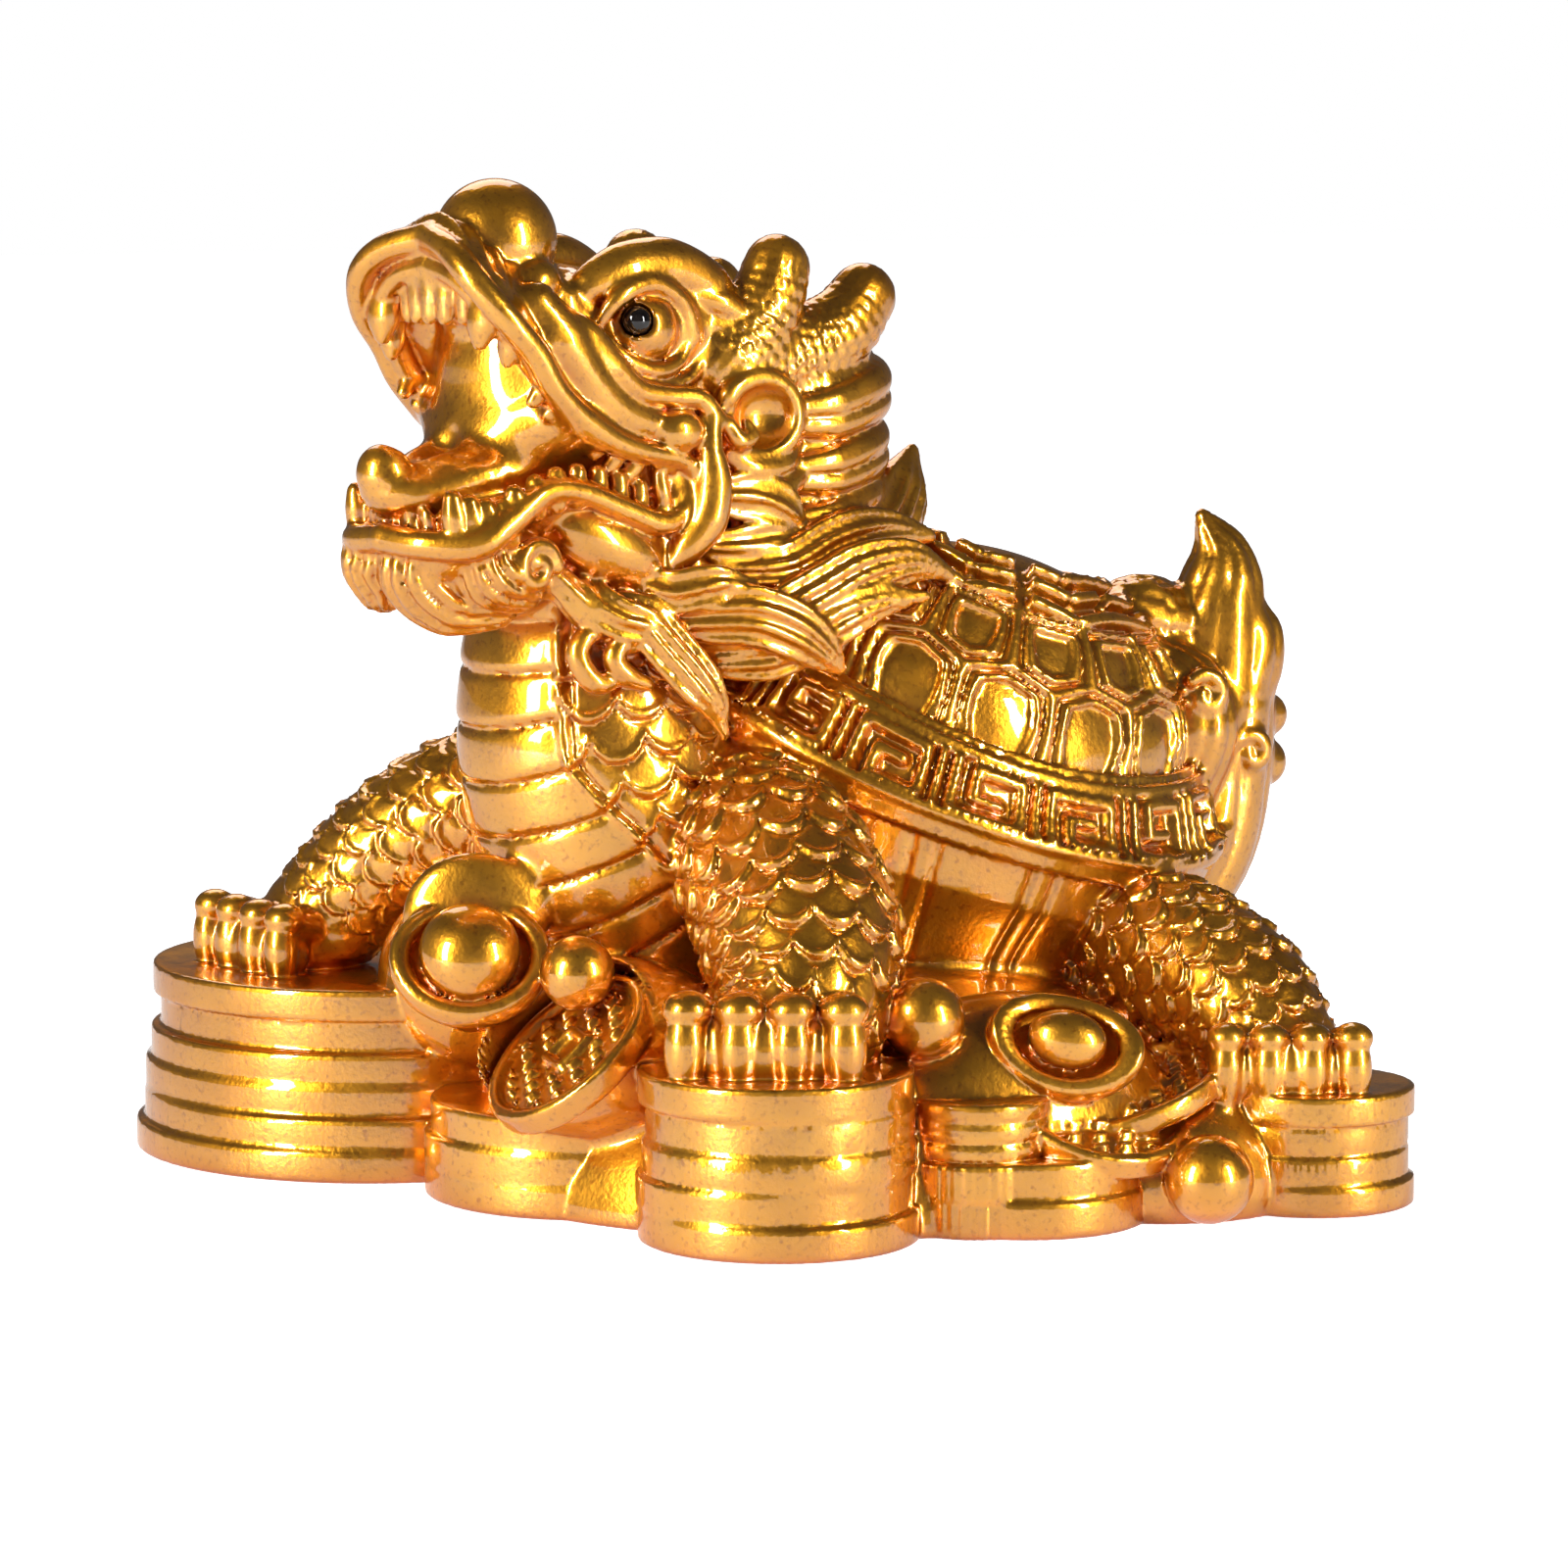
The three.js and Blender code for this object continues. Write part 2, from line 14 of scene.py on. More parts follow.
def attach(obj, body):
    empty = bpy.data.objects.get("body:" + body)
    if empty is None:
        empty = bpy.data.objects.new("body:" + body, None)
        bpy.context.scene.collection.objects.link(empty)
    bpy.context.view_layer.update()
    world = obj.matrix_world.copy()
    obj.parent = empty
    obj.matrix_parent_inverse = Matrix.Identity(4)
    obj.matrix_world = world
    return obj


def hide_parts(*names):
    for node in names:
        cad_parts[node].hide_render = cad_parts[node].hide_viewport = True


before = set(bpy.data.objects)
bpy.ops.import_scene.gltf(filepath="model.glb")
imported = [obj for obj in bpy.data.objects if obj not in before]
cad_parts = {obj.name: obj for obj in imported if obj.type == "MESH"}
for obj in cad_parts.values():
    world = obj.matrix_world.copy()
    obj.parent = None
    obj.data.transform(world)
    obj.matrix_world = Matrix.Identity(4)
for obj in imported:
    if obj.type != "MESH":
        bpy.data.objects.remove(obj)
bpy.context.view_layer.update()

# Driving sizes
BOX_MIDDLE = np.array([-3.302, 30.625, 0.0])
HEAD_TURN = math.radians(18)
HEAD_PIVOT = np.array([0, 12.0, 0])
SHELL = {"y": 51.3, "z": 46.8, "tilt": math.radians(16.5), "long": 24.5, "wide": 19.0, "high": 17.0, "droop": 4.8}
RIM = {"out": 31.0, "drop": 6.0, "edge": 1.2, "lip": 3.0}
KEYS = 16
CELLS = 14
CAP = math.radians(44)
EYE = (8.4, 7.2, 87.0)
GAZE = np.array([0.71, -0.66, 0.26]) / np.linalg.norm([0.71, -0.66, 0.26])
PUPIL = 1.45
GRID = 0.36
FACES = 940_000
SLICES = ("coin_piles", "feet", "legs", "shell", "head")
FAR = 40.0
AZIMUTH = math.radians(65)
PITCH = math.radians(7.05)
CAMERA = np.array([567.0, -234.06, 117.0])
LOW = (-60.0, -28.0, -1.5)
HIGH = (56.0, 92.0, 104.0)


def rotation(axis, angle):
    """Turning matrix about x, y or z by an angle in radians."""
    c, s = math.cos(angle), math.sin(angle)
    i, j = [(1, 2), (2, 0), (0, 1)]["xyz".index(axis)]
    m = np.eye(3)
    m[i, i] = m[j, j] = c
    m[i, j], m[j, i] = -s, s
    return m


HEAD = rotation("z", HEAD_TURN)


def on_head(point):
    """A point of the head's own frame in the sculptor's frame."""
    return HEAD @ (np.asarray(point, float) - HEAD_PIVOT) + HEAD_PIVOT


def mirrored(points, side):
    return [(side * x, y, z) for x, y, z in points]


# Clay: a grid of distances to the surface, negative inside
class Clay:
    def __init__(self, low, high, step):
        self.low, self.step = np.array(low), step
        count = np.ceil((np.array(high) - low) / step).astype(int) + 1
        self.axes = [low[i] + step * np.arange(count[i]) for i in range(3)]
        self.depth = np.full(count, FAR, np.float32)

    def work(self, form, blend, join):
        room = blend + 3 * self.step
        place, grid = [], []
        for axis, low, high, i in zip(self.axes, form.low - room, form.high + room, range(3)):
            start, stop = np.searchsorted(axis, [low, high])
            place.append(slice(start, stop))
            shape = [1, 1, 1]
            shape[i] = stop - start
            grid.append(axis[start:stop].astype(np.float32).reshape(shape))
        if min(s.stop - s.start for s in place) < 1:
            return
        place = tuple(place)
        self.depth[place] = join(self.depth[place], form.distance(*grid), blend)

    def add(self, form, blend=0.0):
        self.work(form, blend, smooth_min)

    def cut(self, form, blend=0.0):
        self.work(form, blend, lambda a, b, k: -smooth_min(-a, b, k))


def smooth_min(a, b, blend):
    low = np.minimum(a, b)
    if blend <= 0:
        return low
    near = np.maximum(blend - np.abs(a - b), 0) / blend
    return low - near * near * blend * 0.25


# Forms
class Ball:
    """An ellipsoid, turned by a matrix."""

    def __init__(self, centre, radii, turn=None):
        self.centre = np.asarray(centre, float)
        self.radii = np.broadcast_to(np.asarray(radii, float), 3)
        self.turn = np.eye(3) if turn is None else turn
        reach = np.abs(self.turn) @ self.radii
        self.low, self.high = self.centre - reach, self.centre + reach

    def distance(self, x, y, z):
        p = [x - self.centre[0], y - self.centre[1], z - self.centre[2]]
        outer = inner = 0
        for i in range(3):
            q = sum(self.turn[j, i] * p[j] for j in range(3)) / self.radii[i]
            outer = outer + q * q
            inner = inner + (q / self.radii[i]) ** 2
        outer = np.sqrt(outer)
        return outer * (outer - 1) / np.maximum(np.sqrt(inner), 1e-4)


def smooth_line(points, count):
    """Points along a Catmull-Rom curve through the given ones."""
    p = np.asarray(points, float)
    p = np.vstack([2 * p[0] - p[1], p, 2 * p[-1] - p[-2]])
    t = np.linspace(0, len(p) - 3, count + 1)
    i = np.minimum(t.astype(int), len(p) - 4)
    f = (t - i)[:, None]
    a, b, c, d = p[i], p[i + 1], p[i + 2], p[i + 3]
    return 0.5 * (2 * b + (c - a) * f + (2 * a - 5 * b + 4 * c - d) * f**2 + (3 * b - a - 3 * c + d) * f**3)


def unit(v):
    return v / np.maximum(np.linalg.norm(v, axis=-1, keepdims=True), 1e-9)


class Tube:
    """A form of changing thickness along a curve. Its relief is read from the way along and round it."""

    def __init__(self, points, radii, flat=1.0, up=(0, 0, 1), relief=None, proud=0.0, steps=0, margin=3.2):
        fine = 12 * (len(points) - 1)
        line = smooth_line(points, fine)
        size = np.interp(np.linspace(0, 1, fine + 1), np.linspace(0, 1, len(radii)), radii)
        way = np.concatenate([[0], np.cumsum(np.linalg.norm(np.diff(line, axis=0), axis=1))])
        self.count = steps or 6 * (len(points) - 1)
        self.length = way[-1]
        even = np.linspace(0, self.length, self.count + 1)
        self.line = np.stack([np.interp(even, way, line[:, i]) for i in range(3)], 1)
        self.radii = np.interp(even, way, size)
        self.flat, self.relief, self.proud, self.margin = flat, relief, proud, margin
        self.tangent = unit(np.gradient(self.line, axis=0))
        self.across = unit(np.cross(self.tangent, np.asarray(up, float)))
        self.over = np.cross(self.across, self.tangent)
        reach = self.radii.max() + proud
        self.low, self.high = self.line.min(0) - reach, self.line.max(0) + reach

    def distance(self, x, y, z):
        shape = (x.size, y.size, z.size)
        best = np.full(shape, FAR, np.float32)
        part = np.zeros(shape, np.float32)
        for i in range(self.count):
            a, b = self.line[i], self.line[i + 1]
            reach = max(self.radii[i], self.radii[i + 1]) + self.margin + self.proud
            place = tuple(
                slice(*np.searchsorted(g.ravel(), [min(a[k], b[k]) - reach, max(a[k], b[k]) + reach]))
                for k, g in enumerate((x, y, z))
            )
            if any(s.stop <= s.start for s in place):
                continue
            px = x[place[0]] - a[0]
            py = y[:, place[1]] - a[1]
            pz = z[:, :, place[2]] - a[2]
            d = b - a
            u = np.clip((px * d[0] + py * d[1] + pz * d[2]) / max(d @ d, 1e-9), 0, 1)
            px, py, pz = px - u * d[0], py - u * d[1], pz - u * d[2]
            radius = self.radii[i] + u * (self.radii[i + 1] - self.radii[i])
            if self.flat == 1:
                gap = np.sqrt(px * px + py * py + pz * pz) - radius
            else:
                side, over, ahead = self.across[i], self.over[i], self.tangent[i]
                cb = px * side[0] + py * side[1] + pz * side[2]
                cn = (px * over[0] + py * over[1] + pz * over[2]) / self.flat
                ct = px * ahead[0] + py * ahead[1] + pz * ahead[2]
                out = np.sqrt(cb * cb + cn * cn + ct * ct)
                slope = np.sqrt(cb * cb + (cn / self.flat) ** 2 + ct * ct) / np.maximum(out, 1e-3)
                gap = (out - radius) / slope
            nearer = gap < best[place]
            best[place] = np.where(nearer, gap, best[place])
            if self.relief:
                part[place] = np.where(nearer, i + u, part[place])
        if self.relief:
            skin = np.abs(best) < 2.0 + self.proud
            grid = np.stack([np.broadcast_to(g, shape)[skin] for g in (x, y, z)], 1)
            best[skin] -= self.carved(grid, part[skin])
        return best

    def carved(self, grid, part):
        """Height of the relief, with the frame turned smoothly from one step to the next."""
        step = self.length / self.count
        i = np.minimum(part.astype(int), self.count - 1)
        u = (part - i)[:, None]
        line, ahead, side, over = (
            a[i] * (1 - u) + a[i + 1] * u for a in (self.line, self.tangent, self.across, self.over)
        )
        off = grid - line
        bend = (self.tangent[i + 1] - self.tangent[i]) / step
        way = part * step + (off * ahead).sum(1) / np.maximum(1 - (off * bend).sum(1), 0.35)
        way = np.clip(way, 0, self.length)
        angle = np.arctan2((off * over).sum(1) / self.flat, (off * side).sum(1))
        radius = np.interp(way, np.linspace(0, self.length, self.count + 1), self.radii)
        return self.relief(way, angle, radius, self.length)


class Disc:
    """A coin: a round plate with softened edges, lying across its axis, with relief on its face."""

    def __init__(self, centre, radius, thick, look=(0, 0, 1), soft=0.5, face=None, edge=None):
        self.centre, self.radius, self.half = np.asarray(centre, float), radius, thick / 2
        self.soft, self.face, self.edge = soft, face, edge
        self.look = unit(np.asarray(look, float))
        hint = np.array([0, 1.0, 0]) if abs(self.look[1]) < 0.9 else np.array([1.0, 0, 0])
        self.side = unit(np.cross(hint, self.look))
        self.ahead = np.cross(self.look, self.side)
        reach = radius + thick
        self.low, self.high = self.centre - reach, self.centre + reach

    def distance(self, x, y, z):
        p = [x - self.centre[0], y - self.centre[1], z - self.centre[2]]
        u, v, w = (sum(d[j] * p[j] for j in range(3)) for d in (self.side, self.ahead, self.look))
        reach = np.sqrt(u * u + v * v)
        q = reach - self.radius + self.soft
        if self.edge:
            q = q - self.edge(np.arctan2(v, u))
        h = np.abs(w) - self.half + self.soft
        if self.face:
            h = h - self.face(u, v, reach)
        return np.minimum(np.maximum(q, h), 0) + np.hypot(np.maximum(q, 0), np.maximum(h, 0)) - self.soft


def line_gap(px, py, path):
    """Distance in a plane to a line through the given corners."""
    best = FAR
    for (ax, ay), (bx, by) in zip(path, path[1:]):
        dx, dy = bx - ax, by - ay
        t = np.clip(((px - ax) * dx + (py - ay) * dy) / (dx * dx + dy * dy), 0, 1)
        best = np.minimum(best, np.hypot(px - ax - t * dx, py - ay - t * dy))
    return best


def bar(gap, half, proud, soft=0.35):
    """Height of a raised line of a given half width with sloping sides."""
    return proud * np.clip((half + soft - gap) / soft, 0, 1)


class Turtle:
    """Shell and belly: a turned profile on an oval, tilted plan, with the carving in its own coordinates."""

    def __init__(self):
        self.low = np.array([-28.0, 16.0, 12.0])
        self.high = np.array([28.0, 88.0, 68.0])
        long, high = SHELL["long"], SHELL["high"]
        out, drop, edge, lip = (RIM[k] for k in ("out", "drop", "edge", "lip"))
        dome = [(long * math.sin(a), high * math.cos(a)) for a in np.linspace(0, math.pi / 2, 25)]
        moulding = [
            (long + 0.1, 0.2), (long + 0.4, 1.2), (long + 1.0, 1.2), (long + 1.25, 0.1), (long + 1.5, 0.7),
            (long + 2.1, 0.6), (long + 2.4, -0.3),
        ]
        self.band = np.array([(long + 2.4, -0.3), (out - 1.1, -drop + 0.1)])
        rim = [
            (out - 1.1, -drop + 0.1), (out - 0.8, -drop + 0.7), (out - 0.1, -drop + 0.5), (out + 0.1, -drop - 0.4),
            (out - 0.3, -drop - edge), (out - 0.6, -drop - edge - 0.4), (out - 1.1, -drop - edge - lip),
            (out - 3.0, -drop - edge - lip - 0.5),
        ]
        belly = [(out - 4.0, -17), (out - 8.5, -26), (0, -31.5)]
        outline = dome + moulding + rim + belly
        self.cell = 0.15
        self.count = (240, 360)
        self.base = -34.0
        r, w = np.meshgrid(
            np.arange(self.count[0]) * self.cell, self.base + np.arange(self.count[1]) * self.cell, indexing="ij"
        )
        gap = line_gap(r, w, outline)
        inside = np.zeros(r.shape, bool)
        for (ar, aw), (br, bw) in zip(outline, outline[1:]):
            crosses = (aw > w) != (bw > w)
            where = ar + (w - aw) / (bw - aw + 1e-9) * (br - ar)
            inside ^= crosses & (r < where)
        self.table = np.where(inside, -gap, gap).astype(np.float32)

    def distance(self, x, y, z):
        tilt = SHELL["tilt"]
        dy, dz = y - SHELL["y"], z - SHELL["z"]
        v = dy * math.cos(tilt) - dz * math.sin(tilt)
        w = dy * math.sin(tilt) + dz * math.cos(tilt)
        u = x * (SHELL["long"] / SHELL["wide"])
        w = w + SHELL["droop"] * (x / SHELL["wide"]) ** 2 * np.clip(1 + (w + 9) / 14, 0, 1)
        reach = np.sqrt(u * u + v * v)
        i = np.clip(reach / self.cell, 0, self.count[0] - 1.01)
        j = np.clip((w - self.base) / self.cell, 0, self.count[1] - 1.01)
        i0, j0 = i.astype(int), j.astype(int)
        fi, fj = i - i0, j - j0
        t = self.table
        low = t[i0, j0] * (1 - fi) + t[i0 + 1, j0] * fi
        high = t[i0, j0 + 1] * (1 - fi) + t[i0 + 1, j0 + 1] * fi
        gap = (low * (1 - fj) + high * fj) * 0.9
        skin = np.abs(gap) < 2
        u, v, w, reach = (np.broadcast_to(a, gap.shape)[skin] for a in (u, v, w, reach))
        gap[skin] -= self.carving(u, v, w, reach)
        return gap

    def carving(self, u, v, w, reach):
        angle = np.arctan2(v, u)
        high = np.zeros_like(u)
        dome = (w > 0.5) & (reach < SHELL["long"] + 0.1)
        high[dome] = dome_plates(u[dome], v[dome], w[dome])
        start, slant = self.band[0], self.band[1] - self.band[0]
        part = ((reach - start[0]) * slant[0] + (w - start[1]) * slant[1]) / (slant @ slant)
        band = (part > 0.01) & (part < 0.98) & (reach > SHELL["long"] + 1)
        high[band] = key_border(angle[band], 1 - part[band])
        belly = w < -RIM["drop"] - RIM["edge"] - RIM["lip"] - 0.6
        high[belly] = belly_grooves(angle[belly])
        return high


def dome_plates(u, v, w):
    """A row of tall arches with double raised borders, a row of small plates over them, and the bars on top."""
    w = w * (SHELL["long"] / SHELL["high"])
    size = np.sqrt(u * u + v * v + w * w) + 1e-6
    u, v, w = u / size, v / size, w / size
    reach = 22.0
    first = np.full(u.shape, -1.0)
    second = np.full(u.shape, -1.0)
    for polar, shift in ((math.radians(77), 0.5), (math.radians(50), 0.0)):
        for k in range(CELLS):
            a = (k + shift) * 2 * math.pi / CELLS
            near = u * math.sin(polar) * math.cos(a) + v * math.sin(polar) * math.sin(a) + w * math.cos(polar)
            second = np.maximum(second, np.minimum(first, near))
            first = np.maximum(first, near)
    border = (np.arccos(np.clip(second, -1, 1)) - np.arccos(np.clip(first, -1, 1))) / 2 * reach
    polar = np.arccos(np.clip(w, -1, 1))
    border = np.minimum(border, np.abs(polar - CAP) * reach + 0.2)
    high = -0.5 + 0.3 * np.clip(border / 4, 0, 1)
    for line, half in ((0.0, 0.3), (1.35, 0.25)):
        high = np.maximum(high, bar(np.abs(border - line), half, 1.05, 0.4) - 0.5)
    return np.where(polar < CAP - 0.02, bar_rows(u, v), high)


def bar_rows(u, v):
    """Three bars on each of eight sides, each one whole or broken in the middle."""
    eighth = math.pi / 4
    turned = np.arctan2(v, u) + math.radians(12)
    side = np.round(turned / eighth)
    off = turned - side * eighth
    flat = np.hypot(u, v) * SHELL["long"]
    out, across = flat * np.cos(off), flat * np.sin(off)
    pattern = (side.astype(int) * 3 + 7) % 8
    bars = np.zeros_like(u)
    for k, row in enumerate((15.3, 12.8, 10.3)):
        half = row * 0.414 - 0.7
        gap = np.hypot(out - row, np.maximum(np.abs(across) - half, 0))
        broken = (pattern >> k) & 1
        split = broken * np.clip((0.9 - np.abs(across)) / 0.25, 0, 1)
        bars = np.maximum(bars, bar(gap, 0.5, 1.6, 0.45) * (1 - split))
    return bars - 0.5


def key_border(angle, across):
    """Square meander hooks between the moulding and the rim, every second one upside down."""
    wide, tall = 10.8, 6.4
    place = (angle + math.radians(1.5)) / (2 * math.pi) * KEYS
    number = np.floor(place)
    along = (place - number) * wide
    across = across * tall
    across = np.where(number.astype(int) % 2 == 1, tall - across, across)
    left, right, top = 1.7, wide - 1.7, tall - 0.7
    hook = [(left, 0), (left, top), (right, top), (right, 0.8), (left + 2.3, 0.8), (left + 2.3, 3.6), (right - 2.3, 3.6)]
    gap = line_gap(along, across, hook)
    divider = np.minimum(along, wide - along)
    return np.maximum(bar(gap, 0.45, 1.4, 0.35), bar(divider, 0.3, 1.4, 0.35)) - 0.9


def belly_grooves(angle):
    """Pairs of upright grooves on the smooth side of the belly."""
    step = 2 * math.pi / 13
    turn = angle - math.radians(4.8)
    near = np.abs(turn - np.round(turn / step) * step) * 24
    return -0.45 * np.exp(-(((near - 1.2) / 0.36) ** 2))


class JawPlate:
    """A jaw stretched across its lip line, hollowed away from the mouth, as a plate with a thick edge."""

    def __init__(self, lip, back, thick, hollow, skin, ridges=0.0):
        line = smooth_line(lip, 60)
        self.back = unit(np.array([0, *back], float))
        self.ahead = np.array([0, -self.back[2], self.back[1]])
        self.way = line @ self.ahead
        order = np.argsort(self.way)
        self.way, line = self.way[order], line[order]
        self.out, self.rise = line[:, 0], line @ self.back
        t = np.linspace(0, 1, len(line))[order]
        self.hollow = np.interp(t, np.linspace(0, 1, len(hollow)), hollow)
        self.thick, self.skin, self.ridges = thick, skin, ridges
        corners = [on_head(p * [s, 1, 1] + d * self.back) for p in line for s in (-1, 1) for d in (-3, 12)]
        self.low, self.high = np.min(corners, 0), np.max(corners, 0)

    def distance(self, x, y, z):
        c, s = HEAD[0, 0], HEAD[1, 0]
        dy = y - HEAD_PIVOT[1]
        hx = x * c + dy * s
        hy = dy * c - x * s + HEAD_PIVOT[1]
        way = hy * self.ahead[1] + z * self.ahead[2]
        rise = hy * self.back[1] + z * self.back[2]
        out, lip, hollow = (np.interp(way, self.way, a) for a in (self.out, self.rise, self.hollow))
        middle = 1 - np.minimum(np.abs(hx) / np.maximum(out, 0.5), 1.0) ** 2
        depth = hollow * middle
        if self.ridges:
            depth = depth + self.ridges * middle * np.sin(way * 2.6)
        under = lip + depth - self.thick - rise
        over = rise - (lip + depth + self.thick + self.skin * middle)
        sides = np.abs(hx) - out
        ends = np.maximum(self.way[0] - way, way - self.way[-1])
        return np.maximum(np.maximum(under, over) * 0.75, np.maximum(sides, ends)).astype(np.float32)


# Relief of skin and hair
def scales(first, last, around, proud):
    """Overlapping rounded scales, with rows of the first length at the start and the last at the end."""

    def relief(s, angle, radius, length):
        growth = (last - first) / length
        row = s / first if abs(growth) < 1e-6 else np.log1p(growth * s / first) / growth
        high = np.zeros_like(s)
        for back in (0, 1):
            number = np.floor(row) - back
            y = row - number
            x = angle / (2 * math.pi) * around + 0.5 * (number % 2)
            x = (x - np.round(x)) * 2
            away = 0.88 + 0.72 * np.sqrt(np.maximum(1 - x * x, 0)) - y
            face = 0.3 + 0.3 * y / 1.6 - 0.08 * x * x
            rim = 0.3 * np.clip(1.4 - np.abs(away - 0.15) / 0.11, 0, 1)
            crease = 0.3 * np.clip(1 + away / 0.2, 0, 1) * back
            high = np.where(away > 0, face + rim, high - crease)
        ends = np.clip(np.minimum(s, length - s) / 2, 0, 1)
        return proud * (high - 0.4) * ends

    return relief


def strands(count, proud):
    """Strands side by side round a thick roll of hair."""

    def relief(s, angle, radius, length):
        wave = np.sqrt(np.abs(np.sin(count * angle / 2 + 0.5 * np.sin(s * 0.22 + 0.8 * np.sin(angle)))))
        return proud * (wave - 0.75) * np.clip(radius / 1.5, 0, 1)

    return relief


def pebbles(size, proud):
    """Low oval scales on the horns, deepest near their foot."""

    def relief(s, angle, radius, length):
        row = s / size
        x = angle * radius / size + 0.5 * (np.floor(row) % 2)
        x, y = x - np.round(x), row - np.floor(row) - 0.5
        dome = np.sqrt(np.clip(1 - 3.6 * (x * x + y * y), 0, 1))
        return proud * (dome - 0.6) * np.clip(1.3 - s / length, 0.35, 1)

    return relief


def neck_skin(row, edge):
    """Broad plates down the front that overlap downwards, a ridge beside them, and scales round the sides."""
    side = scales(3.8, 4.0, 15, 1.2)

    def relief(s, angle, radius, length):
        off = np.abs((angle - math.pi / 2 + math.pi) % (2 * math.pi) - math.pi)
        limit = np.interp(s, *edge)
        part = (s + 1.2 * (off / limit) ** 2) / row
        part = part - np.floor(part)
        plate = 0.65 * (1 - np.abs(2 * part - 1) ** 8) + 0.25 * part - 0.5
        ridge = 0.55 * np.exp(-(((off - limit) * radius / 0.45) ** 2))
        groove = 0.5 * np.exp(-((((off - limit) * radius - 1.0) / 0.35) ** 2))
        front = np.clip((limit - off) * radius / 0.5, 0, 1)
        return front * plate + (1 - front) * side(s, angle, radius, length) + ridge - groove

    return relief


# The animal, form by form
clay = Clay(LOW, HIGH, GRID)


def add_body():
    clay.add(Turtle())
    neck = [(2.6, 14.5, 73), (1.2, 11, 65), (0.2, 9, 55), (0, 9.2, 45), (0, 11.6, 35), (0, 16, 25)]
    edge = ((0, 12, 20, 29, 36, 44), (0.75, 0.8, 0.92, 0.98, 1.35, 1.6))
    clay.add(Tube(neck, [9.4, 11.2, 12.6, 13.5, 13.8, 11], up=(0, -1, 0), relief=neck_skin(4.35, edge), proud=1, steps=60), 0.8)
    clay.add(Ball((0, 31, 29), (17, 17, 13)), 3)
    clay.add(Ball((0, 27, 60), (12.5, 14, 9.5)), 2)
    clay.add(Ball((0, 33, 60), (12.4, 12, 5)), 1)


def paw(place, facing, size=1.0):
    """A broad foot: four round knuckles side by side, each over a fat oval claw."""
    turn = rotation("z", math.radians(facing))

    def at(x, y, z):
        return turn @ (np.array([x, y, z]) * size) + place

    clay.add(Ball(at(0, 0.4, 2.6), np.array([7.6, 7.4, 4.4]) * size, turn), 1.2)
    for k in (-1.5, -0.5, 0.5, 1.5):
        fan = math.radians(k * 9)
        s, c = math.sin(fan), math.cos(fan)

        def toe(r, h):
            return at(k * 3.4 + r * s, 2 - r * c, h)

        toe_turn = turn @ rotation("z", fan)
        clay.add(Tube([toe(1, 3.6), toe(4.6, 5.0), toe(7.6, 5.6)], np.array([1.6, 1.9, 1.9]) * size), 0.6)
        clay.add(Ball(toe(8.5, 6.2), np.array([2.3, 2.3, 1.8]) * size, toe_turn), 0.1)
        clay.add(Ball(toe(9.0, 2.7), np.array([2.0, 2.0, 4.1]) * size, toe_turn), 0.25)
    clay.add(Ball(at(0, -5.0, 2.2), np.array([8.6, 3.2, 4.4]) * size, turn), 0.4)
    for side in (-1, 1):
        clay.add(Ball(at(side * 6.8, 1.5, 3.4), np.array([2, 3, 2.4]) * size, turn), 0.6)


def add_legs():
    def leg(points, radii, relief):
        clay.add(Tube(points, radii, up=(0, 1, 0), relief=relief, proud=1, steps=36), 0.8)

    leg([(8, 22, 37), (19, 20.6, 33), (25.5, 20.2, 28), (30, 18.6, 22.5), (32, 15.8, 18)], [8, 9.8, 10, 8.4, 7.2], scales(3.5, 2.8, 13, 1.2))
    leg([(-8, 22, 38), (-17, 9, 37), (-24, -1, 32.6), (-30, -9, 24)], [9, 9.2, 7.6, 6.2], scales(3.4, 2.7, 12, 1.2))
    for side in (1, -1):
        leg(mirrored([(12, 61, 24), (23, 63.6, 22.8), (31, 66.6, 19.2), (36.5, 69, 13)], side), [7.6, 8.0, 7.4, 5.6], scales(3.0, 2.4, 13, 1.2))
    paw(np.array([33, 13.4, 16.7]), 62, 1.06)
    paw(np.array([-31, -11, 19.5]), 12, 0.95)
    paw(np.array([38.5, 67.3, 12]), 66, 0.88)
    paw(np.array([-38.5, 67.3, 12]), -66, 0.88)


def coin_pile(x, y, radii, thick, beads=False):
    """Coins lying on each other, each a little off the one below."""
    for i, radius in enumerate(radii):
        edge = None
        if beads:
            edge = lambda a, n=int(radius * 3.2): 0.22 * np.abs(np.sin(a * n))
        centre = (x + 0.25 * math.sin(2.4 * i + x), y + 0.25 * math.cos(1.7 * i + y), (i + 0.5) * thick)
        clay.add(Disc(centre, radius, thick + 0.03, soft=0.35, edge=edge))


def coin_face(size):
    """A raised edge, a square window and rows of short strokes that say nothing."""

    def face(u, v, reach):
        rim = 0.9 * np.clip((reach - size + 1.7) / 0.4, 0, 1)
        window = np.maximum(np.abs(u), np.abs(v))
        frame_line = bar(np.abs(window - 1.9), 0.3, 0.8)
        strokes = bar(np.abs(u - np.round(u / 1.8) * 1.8), 0.25, 0.8) * (np.sin(v * 2.2 + u) > -0.1)
        field = (reach < size - 2.2) & (window > 2.8)
        return rim + frame_line + strokes * field - 0.9

    return face


